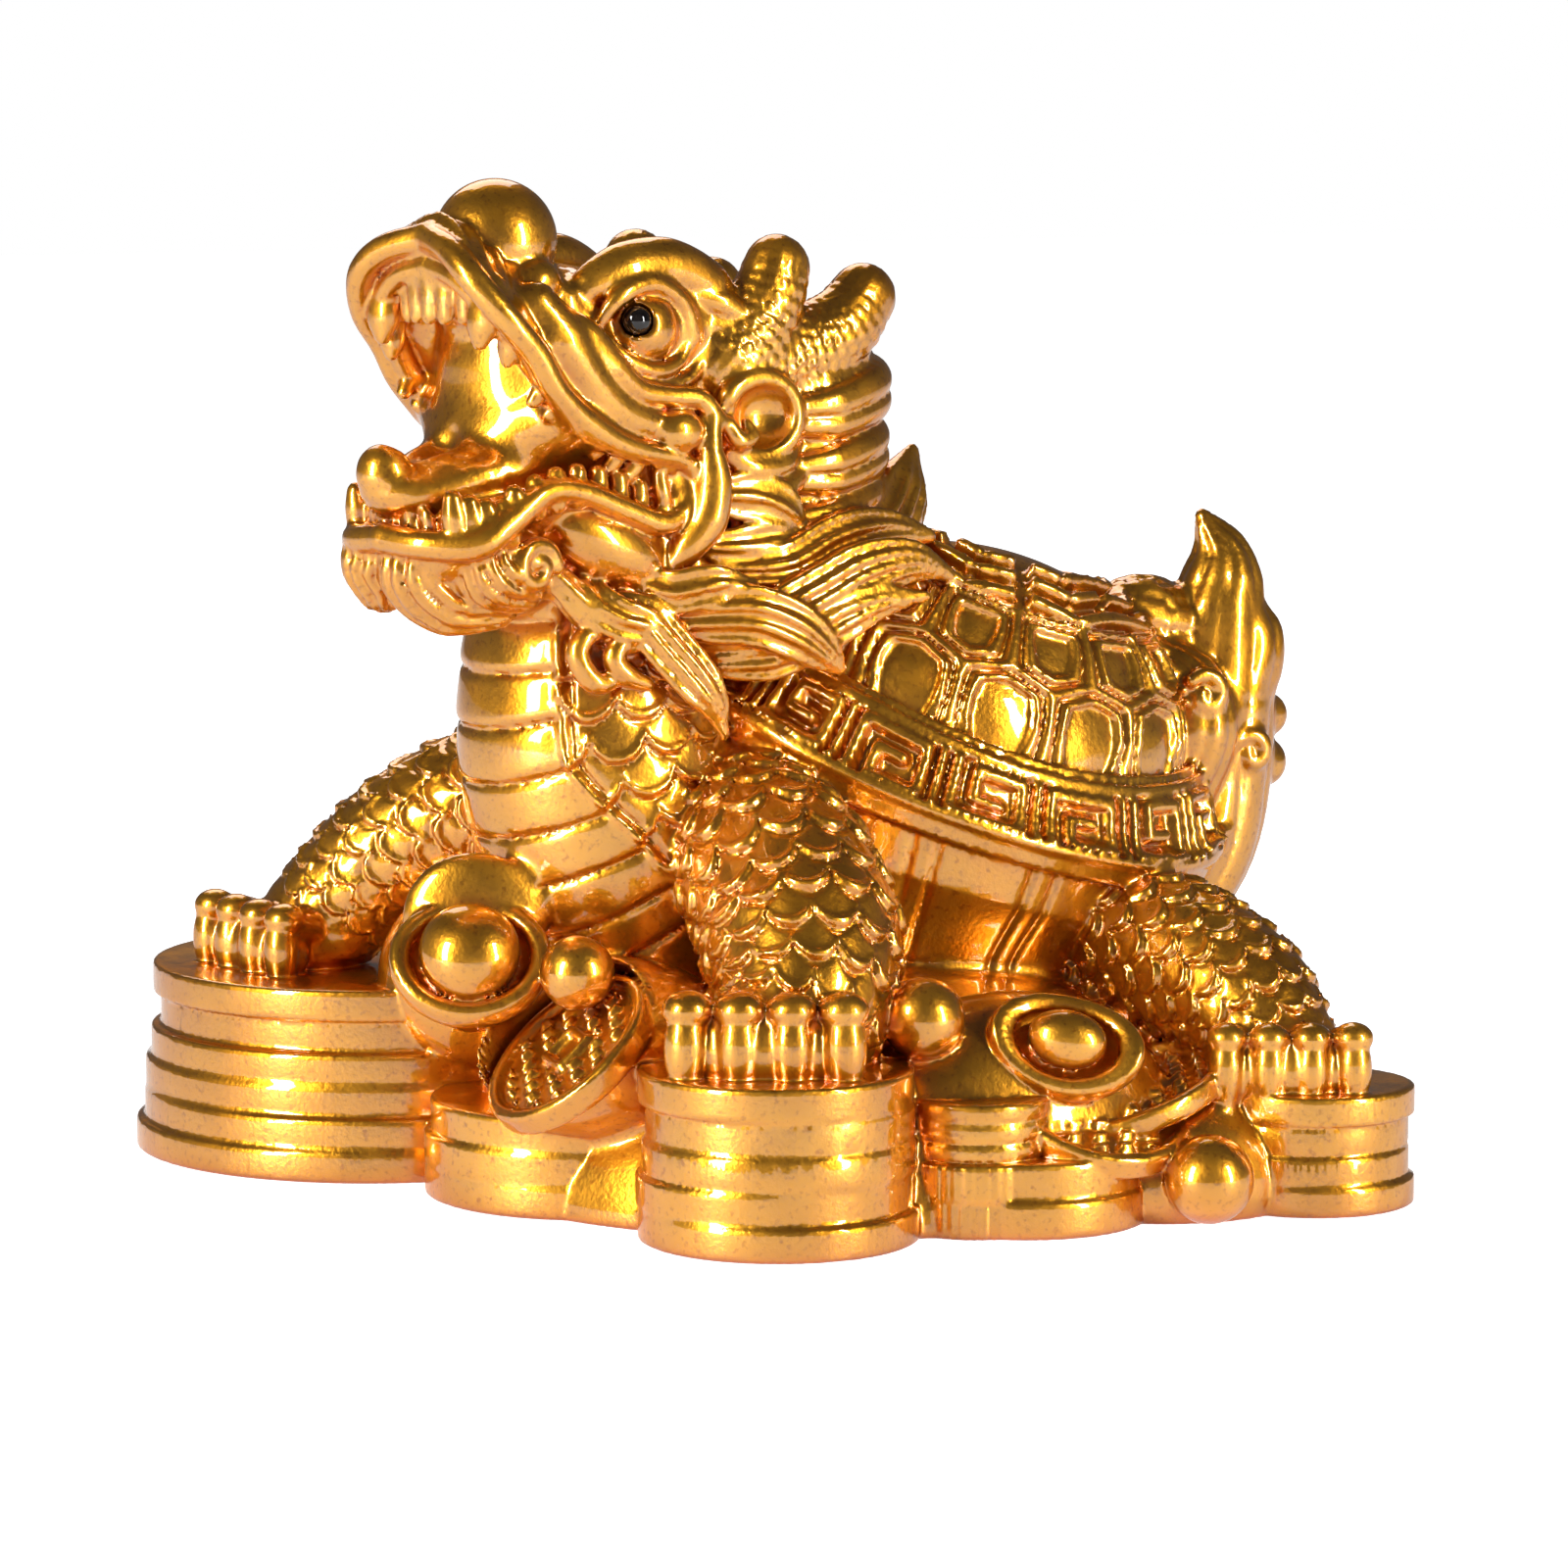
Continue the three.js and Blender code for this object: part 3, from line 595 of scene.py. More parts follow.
class Ingot:
    """A boat-shaped ingot with a lip that rises to both ends, and an egg in its hollow."""

    def __init__(self, place, axis, look, long, wide, high, rise, egg):
        n = unit(np.asarray(look, float))
        across = unit(np.cross(n, axis))
        self.turn = np.array([np.cross(across, n), across, n])
        self.place, self.size, self.rise, self.egg = np.asarray(place, float), (long, wide, high), rise, egg
        reach = max(long, high) + 4
        self.low, self.high = self.place - reach, self.place + reach

    def distance(self, x, y, z):
        p = [x - self.place[0], y - self.place[1], z - self.place[2]]
        u, v, w = (sum(row[j] * p[j] for j in range(3)) for row in self.turn)
        long, wide, high = self.size
        lift = self.rise * (u / long) ** 2
        w = w - lift
        reach = np.sqrt((u / long) ** 2 + (v / wide) ** 2)
        down = np.clip(-w / high, 0, 1)
        waist = 1 - 0.45 * down**1.3
        body = np.maximum((reach - waist) * wide, np.maximum(w, -w - high)) * 0.85
        lip = np.hypot((reach - 0.95) * wide, (w + 0.9) * 0.6) - 1.0
        second = np.hypot((reach - 0.91) * wide, w + 2.5) - 0.6
        dish = np.sqrt((u / (long * 0.84)) ** 2 + (v / (wide * 0.8)) ** 2 + (w / 0.7) ** 2)
        body = smooth_min(body, lip, 1.2)
        body = smooth_min(body, second, 0.4)
        body = -smooth_min(-body, (dish - 1) * 3.0, 0.5)
        a, b, c = self.egg
        egg = (np.sqrt((u / a) ** 2 + (v / b) ** 2 + ((w + lift * 0.5 - 1.5) / c) ** 2) - 1) * min(self.egg)
        return smooth_min(body, egg, 0.25).astype(np.float32)


def add_base():
    mounds = [
        ((2, 37, 0), (40, 42, 24)), ((0, 66, 2), (32, 15, 15)), ((15, 4, 16.5), (10.5, 14, 9)),
        ((-12, 1, 20), (9, 10, 10)), ((31, 40, 8), (11, 18, 14)), ((37, 57, 3), (9, 12, 9)),
    ]
    for place, size in mounds:
        clay.add(Ball(place, size), 2)
    clay.cut(Disc((17.4, -4.4, 20.6), 9.9, 12, (0.06, -0.68, 0.73)))
    coin_pile(-31.9, -1.4, [25.8, 25.2, 24.6, 24.0, 23.3, 24.0], 3.25)
    coin_pile(33.4, 14.1, [13.7, 13.5, 13.3, 13.1, 13.4], 3.34)
    coin_pile(3.4, 7.5, [17, 16.7, 16.4], 3.3)
    coin_pile(34.5, 40.4, [12.4, 12.1], 3.7)
    coin_pile(37, 33.9, [7.4, 7.3], 3.7, beads=True)
    for k in range(3):
        clay.add(Disc((37, 33.9, 8.4 + 1.95 * k), 7.1, 1.85, soft=0.4), 0)
    coin_pile(-40, 34, [11.9, 11.6], 3.7)
    for side in (1, -1):
        coin_pile(38.4 * side, 70.2, [10.4, 10.2, 10.1, 10.2], 3.0)
        coin_pile(13 * side, 76, [11.4, 11], 4.0)
    for centre, radius in [((35, 29, 20.6), 4.1), ((16.5, 0.3, 24.4), 3.7), ((47, 54.2, 4.8), 4.4), ((-34, 52, 4.2), 4.6)]:
        clay.add(Ball(centre, radius), 0.15)
    clay.add(Ball((4.6, -5.6, 28.6), (2.2, 7.2, 6.6), rotation("z", math.radians(-25))), 1.6)
    clay.add(Ingot((8.6, -7.8, 25.2), (0.42, 0.91, 0), (0.72, -0.33, 0.61), 7.2, 6.2, 9, 0.6, (5.0, 5.0, 4.2)), 0.3)
    clay.add(Ingot((40, 42, 17.8), (0.5, 0.84, -0.2), (0.78, -0.3, 0.56), 6.6, 4.6, 8, 1.3, (3.9, 2.9, 2.8)), 0.2)
    clay.add(Disc((17.6, -0.8, 16.6), 9.6, 2.8, (0.06, -0.68, 0.73), face=coin_face(9.6)), 0.1)
    clay.add(Disc((38, 46, 11.2), 10, 2.6, (0.5, 0.05, 0.86), face=coin_face(10)), 0.1)
    clay.add(Disc((33, 52, 11), 11, 2.4, (0, -0.3, 0.85), face=coin_face(11)), 0.1)


def add_tail():
    """A tail of broad curled lobes, with a pointed one on top."""
    spine = [(0, 72, 24), (0, 77.4, 31), (0, 79.6, 38), (0, 80, 46), (0.2, 80.4, 55)]
    flow = strands(9, 0.45)
    clay.add(Tube(spine, [7, 7, 6.6, 6.6, 5.0], up=(1, 0, 0), relief=flow, proud=0.3), 1.2)
    lobes = [
        ([(0.2, 80.4, 54), (0.2, 81.0, 58), (0, 81.0, 61.4), (-0.4, 79.0, 65.4)], [5.0, 4.4, 3.0, 0.8]),
        ([(-1, 78, 46), (-2, 76.4, 51), (-1, 72.4, 54.4), (0, 68, 54), (0, 64, 52)], [6, 6, 5.0, 4.2, 3.2]),
        ([(0.6, 80, 46), (1, 82.4, 49.6), (1, 83.2, 52.6), (0.6, 82.4, 55)], [5.0, 4.8, 4.2, 2.2]),
        ([(4.4, 74, 38), (5.4, 75.4, 43.6), (4.8, 74.6, 48), (3, 72, 51)], [3.8, 4.2, 3.8, 2.4]),
    ]
    for points, radii in lobes:
        clay.add(Tube(points, radii, up=(0, 1, 0), relief=flow, proud=0.3), 0.8)
    for centre, radius in (((0.4, 86.2, 44.2), 2.4), ((0.4, 85.8, 39.2), 2.7)):
        clay.add(Ball(centre, radius), 0.8)
    for out, along, high, wide in ((8.6, 74.6, 47.6, 2.3), (6.2, 81.4, 41, 2.0)):
        curl = []
        for t in np.linspace(0, 1, 12):
            a = 2.4 - 5.8 * t
            r = wide * (1 - 0.75 * t)
            curl.append((out, along + r * math.cos(a), high + r * math.sin(a)))
        clay.add(Tube(curl, [0.7, 1.0, 1.0, 0.9, 0.7], steps=30), 0.6)


# The head, in its own frame
UPPER_LIP = [
    (3, -13.4, 95.8), (7.4, -14, 93.6), (10.6, -12, 89.4), (11.5, -8.6, 85.2), (11.8, -5.6, 81), (12, -2, 77.8),
    (12.2, 3, 75.4), (12.4, 9, 73.6),
]
LOWER_LIP = [
    (3, -18, 67.4), (7, -16.8, 67), (9.6, -13, 67.2), (10.4, -8, 70.8), (10.6, -4, 71.8), (11, 0.6, 70.8),
    (11.8, 5.6, 68.2), (12.6, 11, 70),
]


def head_tube(points, radii, blend=0.4, side=1, up=(0, 0, 1), **options):
    points = [on_head(p) for p in mirrored(points, side)]
    up = HEAD @ np.array([up[0] * side, up[1], up[2]], float)
    clay.add(Tube(points, radii, up=up, **options), blend)


def head_ball(centre, radii, blend=0.6, side=1, lean=0.0):
    turn = HEAD @ rotation("x", math.radians(lean))
    clay.add(Ball(on_head((centre[0] * side, centre[1], centre[2])), radii, turn), blend)


def add_skull():
    head_ball((0, 15, 82), (10.6, 12.5, 10.6), 2)
    head_ball((0, 12, 71), (12, 9, 9), 2)
    head_tube([(0, 10, 87), (0, 3, 88), (0, -7, 91)], [9, 8.6, 6.4], 1.5, flat=0.62)
    clay.add(JawPlate(UPPER_LIP, (0.6, 0.8), 1.2, [0, 3, 5.6, 7, 7.4, 7, 6], 2.0, 0.35), 1.0)
    clay.add(JawPlate(LOWER_LIP, (0.2, -1), 1.2, [0, 1.4, 2.6, 3.4, 3.4, 2.6, 2.2], 2.6), 1.0)
    head_ball((0, -4, 95.6), 6.1, 0.4)
    for side in (1, -1):
        head_ball((5.6, -3.6, 91.6), (2.4, 2.6, 2.4), 0.5, side)
        head_ball((6.0, -0.6, 89.8), (2.2, 2.2, 2.0), 0.5, side)
        head_ball((12.2, 9.2, 76.9), (2.2, 2.8, 2.3), 0.5, side)
        head_ball((7.6, 4.4, 65.0), (4.8, 9, 4.1), 0.5, side, -26)


def add_lips():
    """One round lip all the way round the open mouth, looped at its corners, with a fold inside the upper half."""
    loop = [
        (0, -12.6, 96.2), (5, -13.9, 94.9), (8.4, -14, 92.4), (10.8, -11.8, 88.6), (11.5, -8.7, 85.1), (11.8, -6.4, 81.5),
        (12, -2.6, 78.2), (12.2, 2, 75.8), (12.3, 6.4, 74.8), (12.5, 9.6, 74), (12.6, 11.2, 72.2), (12.4, 10.2, 69.6),
        (12.2, 7.4, 67.9), (11.6, 2.8, 69.4), (11, -2.4, 71.4), (10.6, -6.6, 71.6), (10, -10.4, 69.2), (9, -14, 66.8),
        (5, -17.4, 66.8), (0, -18.2, 67.2),
    ]
    radii = [1.4] * 5 + [1.3, 1.3, 1.2, 1.0, 0.9, 0.9, 0.95] + [1.2] * 4 + [1.45] * 4
    for side in (1, -1):
        head_tube(loop, radii, 0.3, side, (1, 0, 0), steps=110)
        inner = [(0, -12.4, 93.4), (4.6, -12.6, 92.2), (8, -11.6, 89.2), (9.6, -8.6, 85), (10.4, -5, 80.4), (11, -1, 77)]
        head_tube(inner, [1.0, 1.1, 1.2, 1.2, 1.1, 0.8], 0.4, side, (0, 1, 0))
        head_tube([(11, 7.1, 75.2), (11.8, 7.3, 71.1), (11.8, 8, 68.6)], [0.6, 0.9, 0.6], 0.3, side, (1, 0, 0))
        cheek = [(8.6, -6.4, 89.6), (9.6, -4, 86), (10, -1, 82), (10.4, 2.6, 79), (10.8, 7, 77.6), (11, 10, 77)]
        head_tube(cheek, [2.4, 3.0, 2.8, 2.4, 1.9, 1.6], 0.6, side, (1, 0, 0))


def add_teeth():
    """Flat front teeth on a gum, two broad fangs above and below on each side, and small ones behind."""

    def tooth(root, tip, wide, side=1, flat=0.7, up=(0, 1, 0), point=0.45):
        middle = np.array(root) * 0.45 + np.array(tip) * 0.55
        head_tube([root, tuple(middle), tip], [wide, wide, wide * point], 0.12, side, up, flat=flat)

    for k in range(7):
        x = 2.1 * (k - 3)
        tooth((x, -12.4 + 0.05 * x * x, 92.8), (x, -12.4 + 0.05 * x * x, 88.6), 1.2, point=0.85)
        tooth((x * 0.9, -16.4 + 0.04 * x * x, 67.6), (x * 0.9, -16.9 + 0.04 * x * x, 69.4), 1.1, point=0.85)
    for side in (1, -1):
        tooth((7.8, -11.6, 91), (7.4, -12.2, 86.4), 2.1, side, point=0.5)
        tooth((9.2, -9.4, 87.6), (8.8, -10, 84.4), 1.6, side, point=0.5)
        for y, tall in ((-16.2, 3.4), (-14.6, 3.0), (-13.0, 2.6), (-11.4, 2.4)):
            x = 7.4 + 0.4 * (y + 16)
            tooth((x, y + 1, 67.4), (x, y + 0.4, 67.8 + tall), 1.35, side, 1.0, point=0.7)
        for k in range(7):
            t = k / 6
            y, z = -6.0 + 11.0 * t, 82.4 - 8.0 * t
            tooth((10.4 + 0.7 * t, y, z), (9.8 + 0.8 * t, y - 1.6, z - 2.0), 1.0, side, 1.0, point=0.75)
            y = -10 + 15 * t
            z = 70.4 + 1.8 * math.sin(math.pi * t)
            tooth((9.8 + 1.2 * t, y, z - 1.5), (9.7 + 1.2 * t, y, z + 1.1), 1.15, side, 0.9, point=0.9)


def add_tongue():
    head_tube([(0, 8, 70), (0, 0, 73.4), (0, -8, 73.2), (-0.5, -14, 71.8), (-0.7, -17.2, 72.4)], [7, 7.6, 7, 5.2, 2.8], 0.8, flat=0.5)
    head_ball((-0.8, -17.6, 73.6), 2.7, 0.8)
    head_ball((0, -4, 69.6), (8.6, 12, 3.6), 1)
    groove = [on_head(p) for p in [(0, 2, 78.2), (0, -6, 78), (-0.4, -12, 76.6), (-0.6, -16, 76.6)]]
    clay.cut(Tube(groove, [1.4, 2.2, 2.0, 0.8], up=(1, 0, 0)), 1.6)
    head_ball((0, 1.5, 83.5), (10, 10, 7.4), 2.5)
    head_ball((0, 4.5, 77.5), (9.6, 8, 6.5), 2.5)
    head_ball((0, -2, 77.6), (11, 7, 5), 3)


def add_eyes():
    for side in (1, -1):
        head_ball(EYE, 3.95, 0.15, side)
        upper = [(9.2, 1.2, 87.4), (10.2, 3.2, 90.2), (10.4, 7.2, 91.4), (10.6, 11.0, 89.4), (10.6, 12.4, 86.0)]
        head_tube(upper, [0.6, 1.0, 1.1, 1.0, 0.7], 0.3, side, (1, 0, 0))
        lower = [(9.4, 1.6, 86.6), (10.4, 4.2, 84.0), (10.8, 7.4, 82.8), (10.6, 10.6, 83.6), (10.4, 12.2, 85.6)]
        head_tube(lower, [0.5, 0.8, 0.9, 0.8, 0.6], 0.3, side, (1, 0, 0))
        outer = [(9, 0.4, 87), (10.2, 3.6, 82.8), (10.6, 7.4, 81.4), (10.6, 12, 82.0), (10.4, 14.6, 85)]
        head_tube(outer, [0.5, 0.7, 0.8, 0.8, 0.5], 0.5, side, (1, 0, 0))
        brow = [(5.8, -0.4, 88.6), (7.0, 1.9, 91.0), (7.8, 5.8, 92.6), (8.2, 10.9, 92.8), (8.8, 15.5, 90.8), (9.4, 18.6, 87.6)]
        head_tube(brow, [1.0, 2.0, 2.8, 3.0, 2.8, 1.6], 0.5, side, (1, 0, 0.5))
        head_ball((8.0, 13, 87), (3.2, 6.4, 5.2), 0.8, side)
        for k in range(3):
            z = -2.6 * k
            tail = [(9.6, 12 + k, 90.2 + z), (10.8, 16 + k, 89.2 + z), (11.2, 19.6 + 0.6 * k, 86.6 + z), (10.6, 21.6 + 0.4 * k, 83 + z)]
            head_tube(tail, [0.9, 1.5, 1.3, 0.5], 0.3, side, (1, 0, 0))
        clay.cut(Ball(on_head(np.array(EYE) * [side, 1, 1] + GAZE * [side, 1, 1] * 3.3), PUPIL + 0.15))


def add_cheeks():
    for side in (1, -1):
        whisker = [(9.6, -4.4, 89.2), (10.4, -1.6, 86.4), (11, 1.2, 83.4), (11.6, 4.3, 81.1), (12.2, 8, 80.4), (12.8, 11.4, 80), (13.2, 13.4, 77.8)]
        head_tube(whisker, [0.9, 2.0, 1.9, 1.3, 1.1, 1.1, 1.1], 0.4, side, (1, 0, 0))
        loop = [(13.2, 12.6, 77.8), (13.5, 12.2, 75), (13.7, 12.4, 71.8), (13.5, 11.8, 68.2), (12.8, 9.8, 65.4), (11.6, 8.4, 63)]
        head_tube(loop, [1.1, 1.3, 1.9, 2.1, 1.7, 1.0], 0.4, side, (1, 0, 0))
        for front, back, low in [(-7.2, -4.8, 84.4), (-3.0, -1.3, 82.4)]:
            fold = [(9.2, front, 88.4), (10.4, (front + back) / 2, 86.2), (10.6, back, low)]
            head_tube(fold, [0.7, 1.4, 0.7], 0.4, side, (1, 0, 0))
        crescent = [(7.6, -3.2, 63), (9, 0, 59.6), (9.6, 4.2, 57.4), (10.4, 8.6, 56.6), (11.6, 12.6, 56.4)]
        head_tube(crescent, [1.4, 2.0, 2.3, 1.6, 0.5], 0.4, side, (1, 0, 0), relief=strands(6, 0.5), proud=0.4)


def add_horns():
    """Each horn is a broad mitten: two round-ended lobes on one foot."""
    skin = pebbles(1.3, 0.45)
    for side in (1, -1):
        front = [(9.2, 17.6, 83), (10, 21.0, 86.6), (10.5, 22.8, 89.8), (10.6, 23.8, 92.4)]
        head_tube(front, [4.6, 4.4, 3.9, 3.5], 0.8, side, (1, 0, 0), relief=skin, proud=0.4, flat=0.9)
        rear = [(9, 18, 82.4), (10, 26.4, 83.8), (11, 32.0, 86.2), (11.3, 35.0, 89.2)]
        head_tube(rear, [4.6, 4.6, 4.1, 3.5], 0.8, side, (1, 0, 0), relief=skin, proud=0.4, flat=0.9)
        head_ball((9.4, 20.4, 83.6), (3.6, 5.4, 4.6), 1.4, side, 10)


def add_ears():
    """A cup with a thick rolled rim and a small curl in front."""
    for side in (1, -1):
        head_ball((11.6, 19, 77.8), (2.4, 5.2, 4.7), 0.5, side)
        ring = [(13.2 + 0.5 * math.cos(a), 18.9 + 4.5 * math.cos(a), 77.9 + 3.9 * math.sin(a)) for a in np.linspace(-2.7, 2.9, 16)]
        head_tube(ring, [0.6] + [1.1] * 14 + [0.5], 0.2, side, (1, 0, 0), steps=60)
        clay.cut(Ball(on_head((side * 14.8, 19.0, 78)), (3.4, 3.7, 3.2), HEAD), 0.3)
        curl = [(13.4, 14.6, 77.4), (14, 15.6, 75.8), (14, 17.2, 76.2), (13.6, 16.9, 77.4)]
        head_tube(curl, [0.9, 1.0, 0.9, 0.6], 0.2, side, (1, 0, 0))
        fold = [(12.6, 15.3, 74.2), (13.4, 18.2, 72.9), (13.5, 22.1, 73.2), (12.8, 24.4, 75.3)]
        head_tube(fold, [0.9, 1.3, 1.2, 0.6], 0.2, side, (1, 0, 0))
        lower = [(12.2, 14.6, 71.6), (13.2, 18.4, 70.8), (13.6, 22.4, 71), (13, 25.6, 73)]
        head_tube(lower, [1.0, 1.4, 1.3, 0.6], 0.2, side, (1, 0, 0))


def lock(points, width, side=1, head=True, lines=5, flat=0.4, up=(1, 0, 0), blend=0.6, tip=0.6, fine=0.5):
    """A leaf-shaped lock of hair: a flat form with a raised line along each edge and between them."""
    points = mirrored(points, side)
    up = np.array([up[0] * side, up[1], up[2]], float)
    if head:
        points, up = [on_head(p) for p in points], HEAD @ up
    radii = [width * r for r in (0.6, 0.95, 1, 0.95, tip, 0.14)]
    leaf = Tube(points, radii, flat=flat, up=up, steps=6 * len(points))
    clay.add(leaf, blend)
    for place in np.linspace(-0.9, 0.9, lines):
        high = flat * math.sqrt(1 - place * place) * 1.02
        ridge = leaf.line + (leaf.across * place + leaf.over * high) * leaf.radii[:, None]
        thick = fine * np.clip(leaf.radii / width * 1.3, 0.45, 1)
        clay.add(Tube(ridge[::3], thick[::3], steps=30, margin=1.4), 0.15)


def add_hair():
    """A bun of three fat rolls, and pointed locks under it and behind the cheek."""
    head_ball((0, 27, 75), (9.5, 12, 9), 1.0)
    for z, reach, thick in [(80, 37.2, 4.5), (74.2, 37.6, 4.3), (69, 38.0, 4.0)]:
        roll = [
            (10.2, 22, z - 2.4), (11, 29, z - 1.6), (8.8, 35.4, z), (0, reach, z + 1), (-8.8, 35.4, z), (-11, 29, z - 1.6),
            (-10.2, 22, z - 2.4),
        ]
        thickness = [thick * 0.6] + [thick] * 5 + [thick * 0.6]
        head_tube(roll, thickness, 0.2, 1, (0, 0, 1), relief=strands(8, 0.7), proud=0.6, steps=60)
    for side in (1, -1):
        lock([(12, 23, 66), (13, 29, 64.4), (12.4, 35.4, 65), (10.6, 40.6, 68.4), (8.8, 44.6, 73.4)], 4.2, side, flat=0.6, tip=0.8)
        lock([(12.5, 13.4, 70.4), (13.6, 18, 70), (14.3, 21.4, 68.6), (14.4, 24.2, 66.6)], 2.4, side, lines=3)
        lock([(12.5, 13, 65.2), (13.6, 17, 65.2), (14.2, 20.7, 65.8), (14.4, 24.2, 66.6)], 1.9, side, lines=3)


def add_beard():
    """Three round tufts under the lower lip with strands that fan downwards, and a small spiral beside them."""
    lobes = [
        ([(-3.6, -12.8, 66.4), (-4.8, -14.8, 64.6), (-5, -14.2, 62.4)], [3.0, 3.8, 3.0]),
        ([(1.6, -13.8, 66.6), (0.8, -14.2, 63.8), (2.2, -11.8, 61.4), (4.6, -8.6, 60.6)], [3.4, 4.2, 3.9, 2.6]),
        ([(6.4, -11.4, 66.2), (6.8, -10.4, 63.8), (7.0, -7.4, 62.6)], [2.8, 3.6, 2.8]),
    ]
    for points, radii in lobes:
        head_tube(points, radii, 0.3, 1, (1, 0, 0), relief=strands(13, 0.9), proud=0.6, steps=24)
    spiral = [(9.8, -7.4 + r * math.cos(a), 64.2 + r * math.sin(a)) for a, r in zip(np.linspace(0, 9, 14), np.linspace(2.6, 0.4, 14))]
    head_tube(spiral, [0.9] * 12 + [0.6], 0.2, 1, (1, 0, 0), steps=50)
    head_ball((0, -6, 63), (8, 8.4, 4.4), 1.5)


def add_mane():
    """Broad flat locks side by side down the neck, the long ones swept back over the front of the shell."""
    locks = [
        ([(12, 15, 56.4), (14, 21.1, 57.3), (13.4, 27.5, 59.6), (12.4, 33.4, 62.2), (11.4, 39.4, 63.0), (10.4, 44.3, 61.1)], 3.3, 5),
        ([(13, 17, 54), (14.4, 22.7, 54.7), (14, 28.4, 57.2), (13.4, 34, 59.2), (12.8, 40.3, 59.6)], 2.4, 4),
        ([(11, 17, 62), (11.4, 25.2, 61.8), (9.8, 31.6, 64.2), (7.8, 38, 65.4), (6.4, 44, 65)], 3.8, 5),
        ([(6, 20, 67), (6, 28, 67), (4, 36, 67.2), (3, 44, 66.4)], 4.4, 5),
        ([(12.5, 12, 58.4), (14.2, 16.1, 58.8), (15.2, 20.1, 58.6), (15.4, 24.4, 56.9), (14.8, 28, 54.4), (14.4, 30, 52.6)], 2.9, 4),
        ([(12.5, 6, 60), (13.5, 8.6, 58.6), (14.4, 11, 55.8), (15.2, 13.8, 52.4), (15.2, 15.7, 49.8), (14.8, 17, 46.6)], 2.3, 4),
        ([(11, 2.9, 63), (13, 3.6, 60.6), (14, 6, 58.8), (14.2, 9.4, 58), (14, 13.1, 57.6)], 1.9, 3),
        ([(11, 8, 62.4), (13.5, 11.3, 61.2), (14.6, 14, 61.6), (15, 17, 62), (14.6, 20.6, 61.6)], 2.0, 3),
    ]
    for side in (1, -1):
        for points, width, lines in locks:
            lock(points, width, side, head=False, lines=lines)
        for curl in (
            [(13, 7.1, 53.4), (13.6, 4.1, 52.4), (13.4, 2.5, 53.7), (13.2, 1.9, 55.7), (13.2, 2.9, 57.1), (13, 5, 57.4)],
            [(13.8, 9, 52.2), (13.8, 6.9, 53.1), (13.8, 5.5, 54.7), (13.8, 6.1, 56), (13.6, 7.8, 55.7)],
        ):
            clay.add(Tube(mirrored(curl, side), [0.8, 1.2, 1.2, 1.1, 0.6]), 0.2)


add_body()
add_legs()
add_mane()
add_tail()
add_base()
add_skull()
add_hair()
add_horns()
add_ears()
add_lips()
add_tongue()
add_teeth()
add_cheeks()
add_beard()
add_eyes()


# From clay to mesh
def skin(clay):
    """Corners and faces of the surface where the distance is nought, one corner to each crossed cell."""
    depth = np.maximum(clay.depth, -(clay.axes[2] + 0.0)[None, None, :].astype(np.float32))
    inside = depth < 0
    n = np.array(depth.shape) - 1
    corners = [(i, j, k) for i in (0, 1) for j in (0, 1) for k in (0, 1)]
    total = np.zeros(n, np.uint8)
    for i, j, k in corners:
        total += inside[i:i + n[0], j:j + n[1], k:k + n[2]]
    cells = np.argwhere((total > 0) & (total < 8))
    number = np.full(n, -1, np.int64)
    number[tuple(cells.T)] = np.arange(len(cells))
    value = np.stack([depth[cells[:, 0] + i, cells[:, 1] + j, cells[:, 2] + k] for i, j, k in corners], 1)
    spot = np.zeros((len(cells), 3))
    hits = np.zeros(len(cells))
    for a, ca in enumerate(corners):
        for b, cb in enumerate(corners):
            if b <= a or sum(abs(p - q) for p, q in zip(ca, cb)) != 1:
                continue
            crossed = (value[:, a] < 0) != (value[:, b] < 0)
            t = value[crossed, a] / (value[crossed, a] - value[crossed, b])
            spot[crossed] += np.array(ca) + t[:, None] * (np.array(cb) - ca)
            hits[crossed] += 1
    points = (cells + spot / hits[:, None]) * clay.step + clay.low
    faces = []
    for axis in range(3):
        p, q = [(1, 2), (2, 0), (0, 1)][axis]
        here = [slice(None)] * 3
        ahead = [slice(None)] * 3
        here[axis], ahead[axis] = slice(0, -1), slice(1, None)
        a, b = inside[tuple(here)], inside[tuple(ahead)]
        edge = np.argwhere(a != b)
        edge = edge[(edge[:, p] > 0) & (edge[:, q] > 0) & (edge[:, p] < n[p]) & (edge[:, q] < n[q])]
        leaving = a[tuple(edge.T)]
        ring = []
        for dp, dq in ((-1, -1), (0, -1), (0, 0), (-1, 0)):
            cell = edge.copy()
            cell[:, p] += dp
            cell[:, q] += dq
            ring.append(number[tuple(cell.T)])
        ring = np.stack(ring, 1)
        ring[~leaving] = ring[~leaving][:, ::-1]
        faces.append(ring)
    return points, np.concatenate(faces)


def mesh_object(name, points, faces):
    mesh = bpy.data.meshes.new(name)
    mesh.vertices.add(len(points))
    mesh.vertices.foreach_set("co", np.asarray(points, np.float32).ravel())
    mesh.loops.add(faces.size)
    mesh.loops.foreach_set("vertex_index", faces.ravel().astype(np.int32))
    mesh.polygons.add(len(faces))
    mesh.polygons.foreach_set("loop_start", np.arange(0, faces.size, faces.shape[1], dtype=np.int32))
    mesh.update(calc_edges=True)
    mesh.validate()
    obj = bpy.data.objects.new(name, mesh)
    bpy.context.scene.collection.objects.link(obj)
    return obj


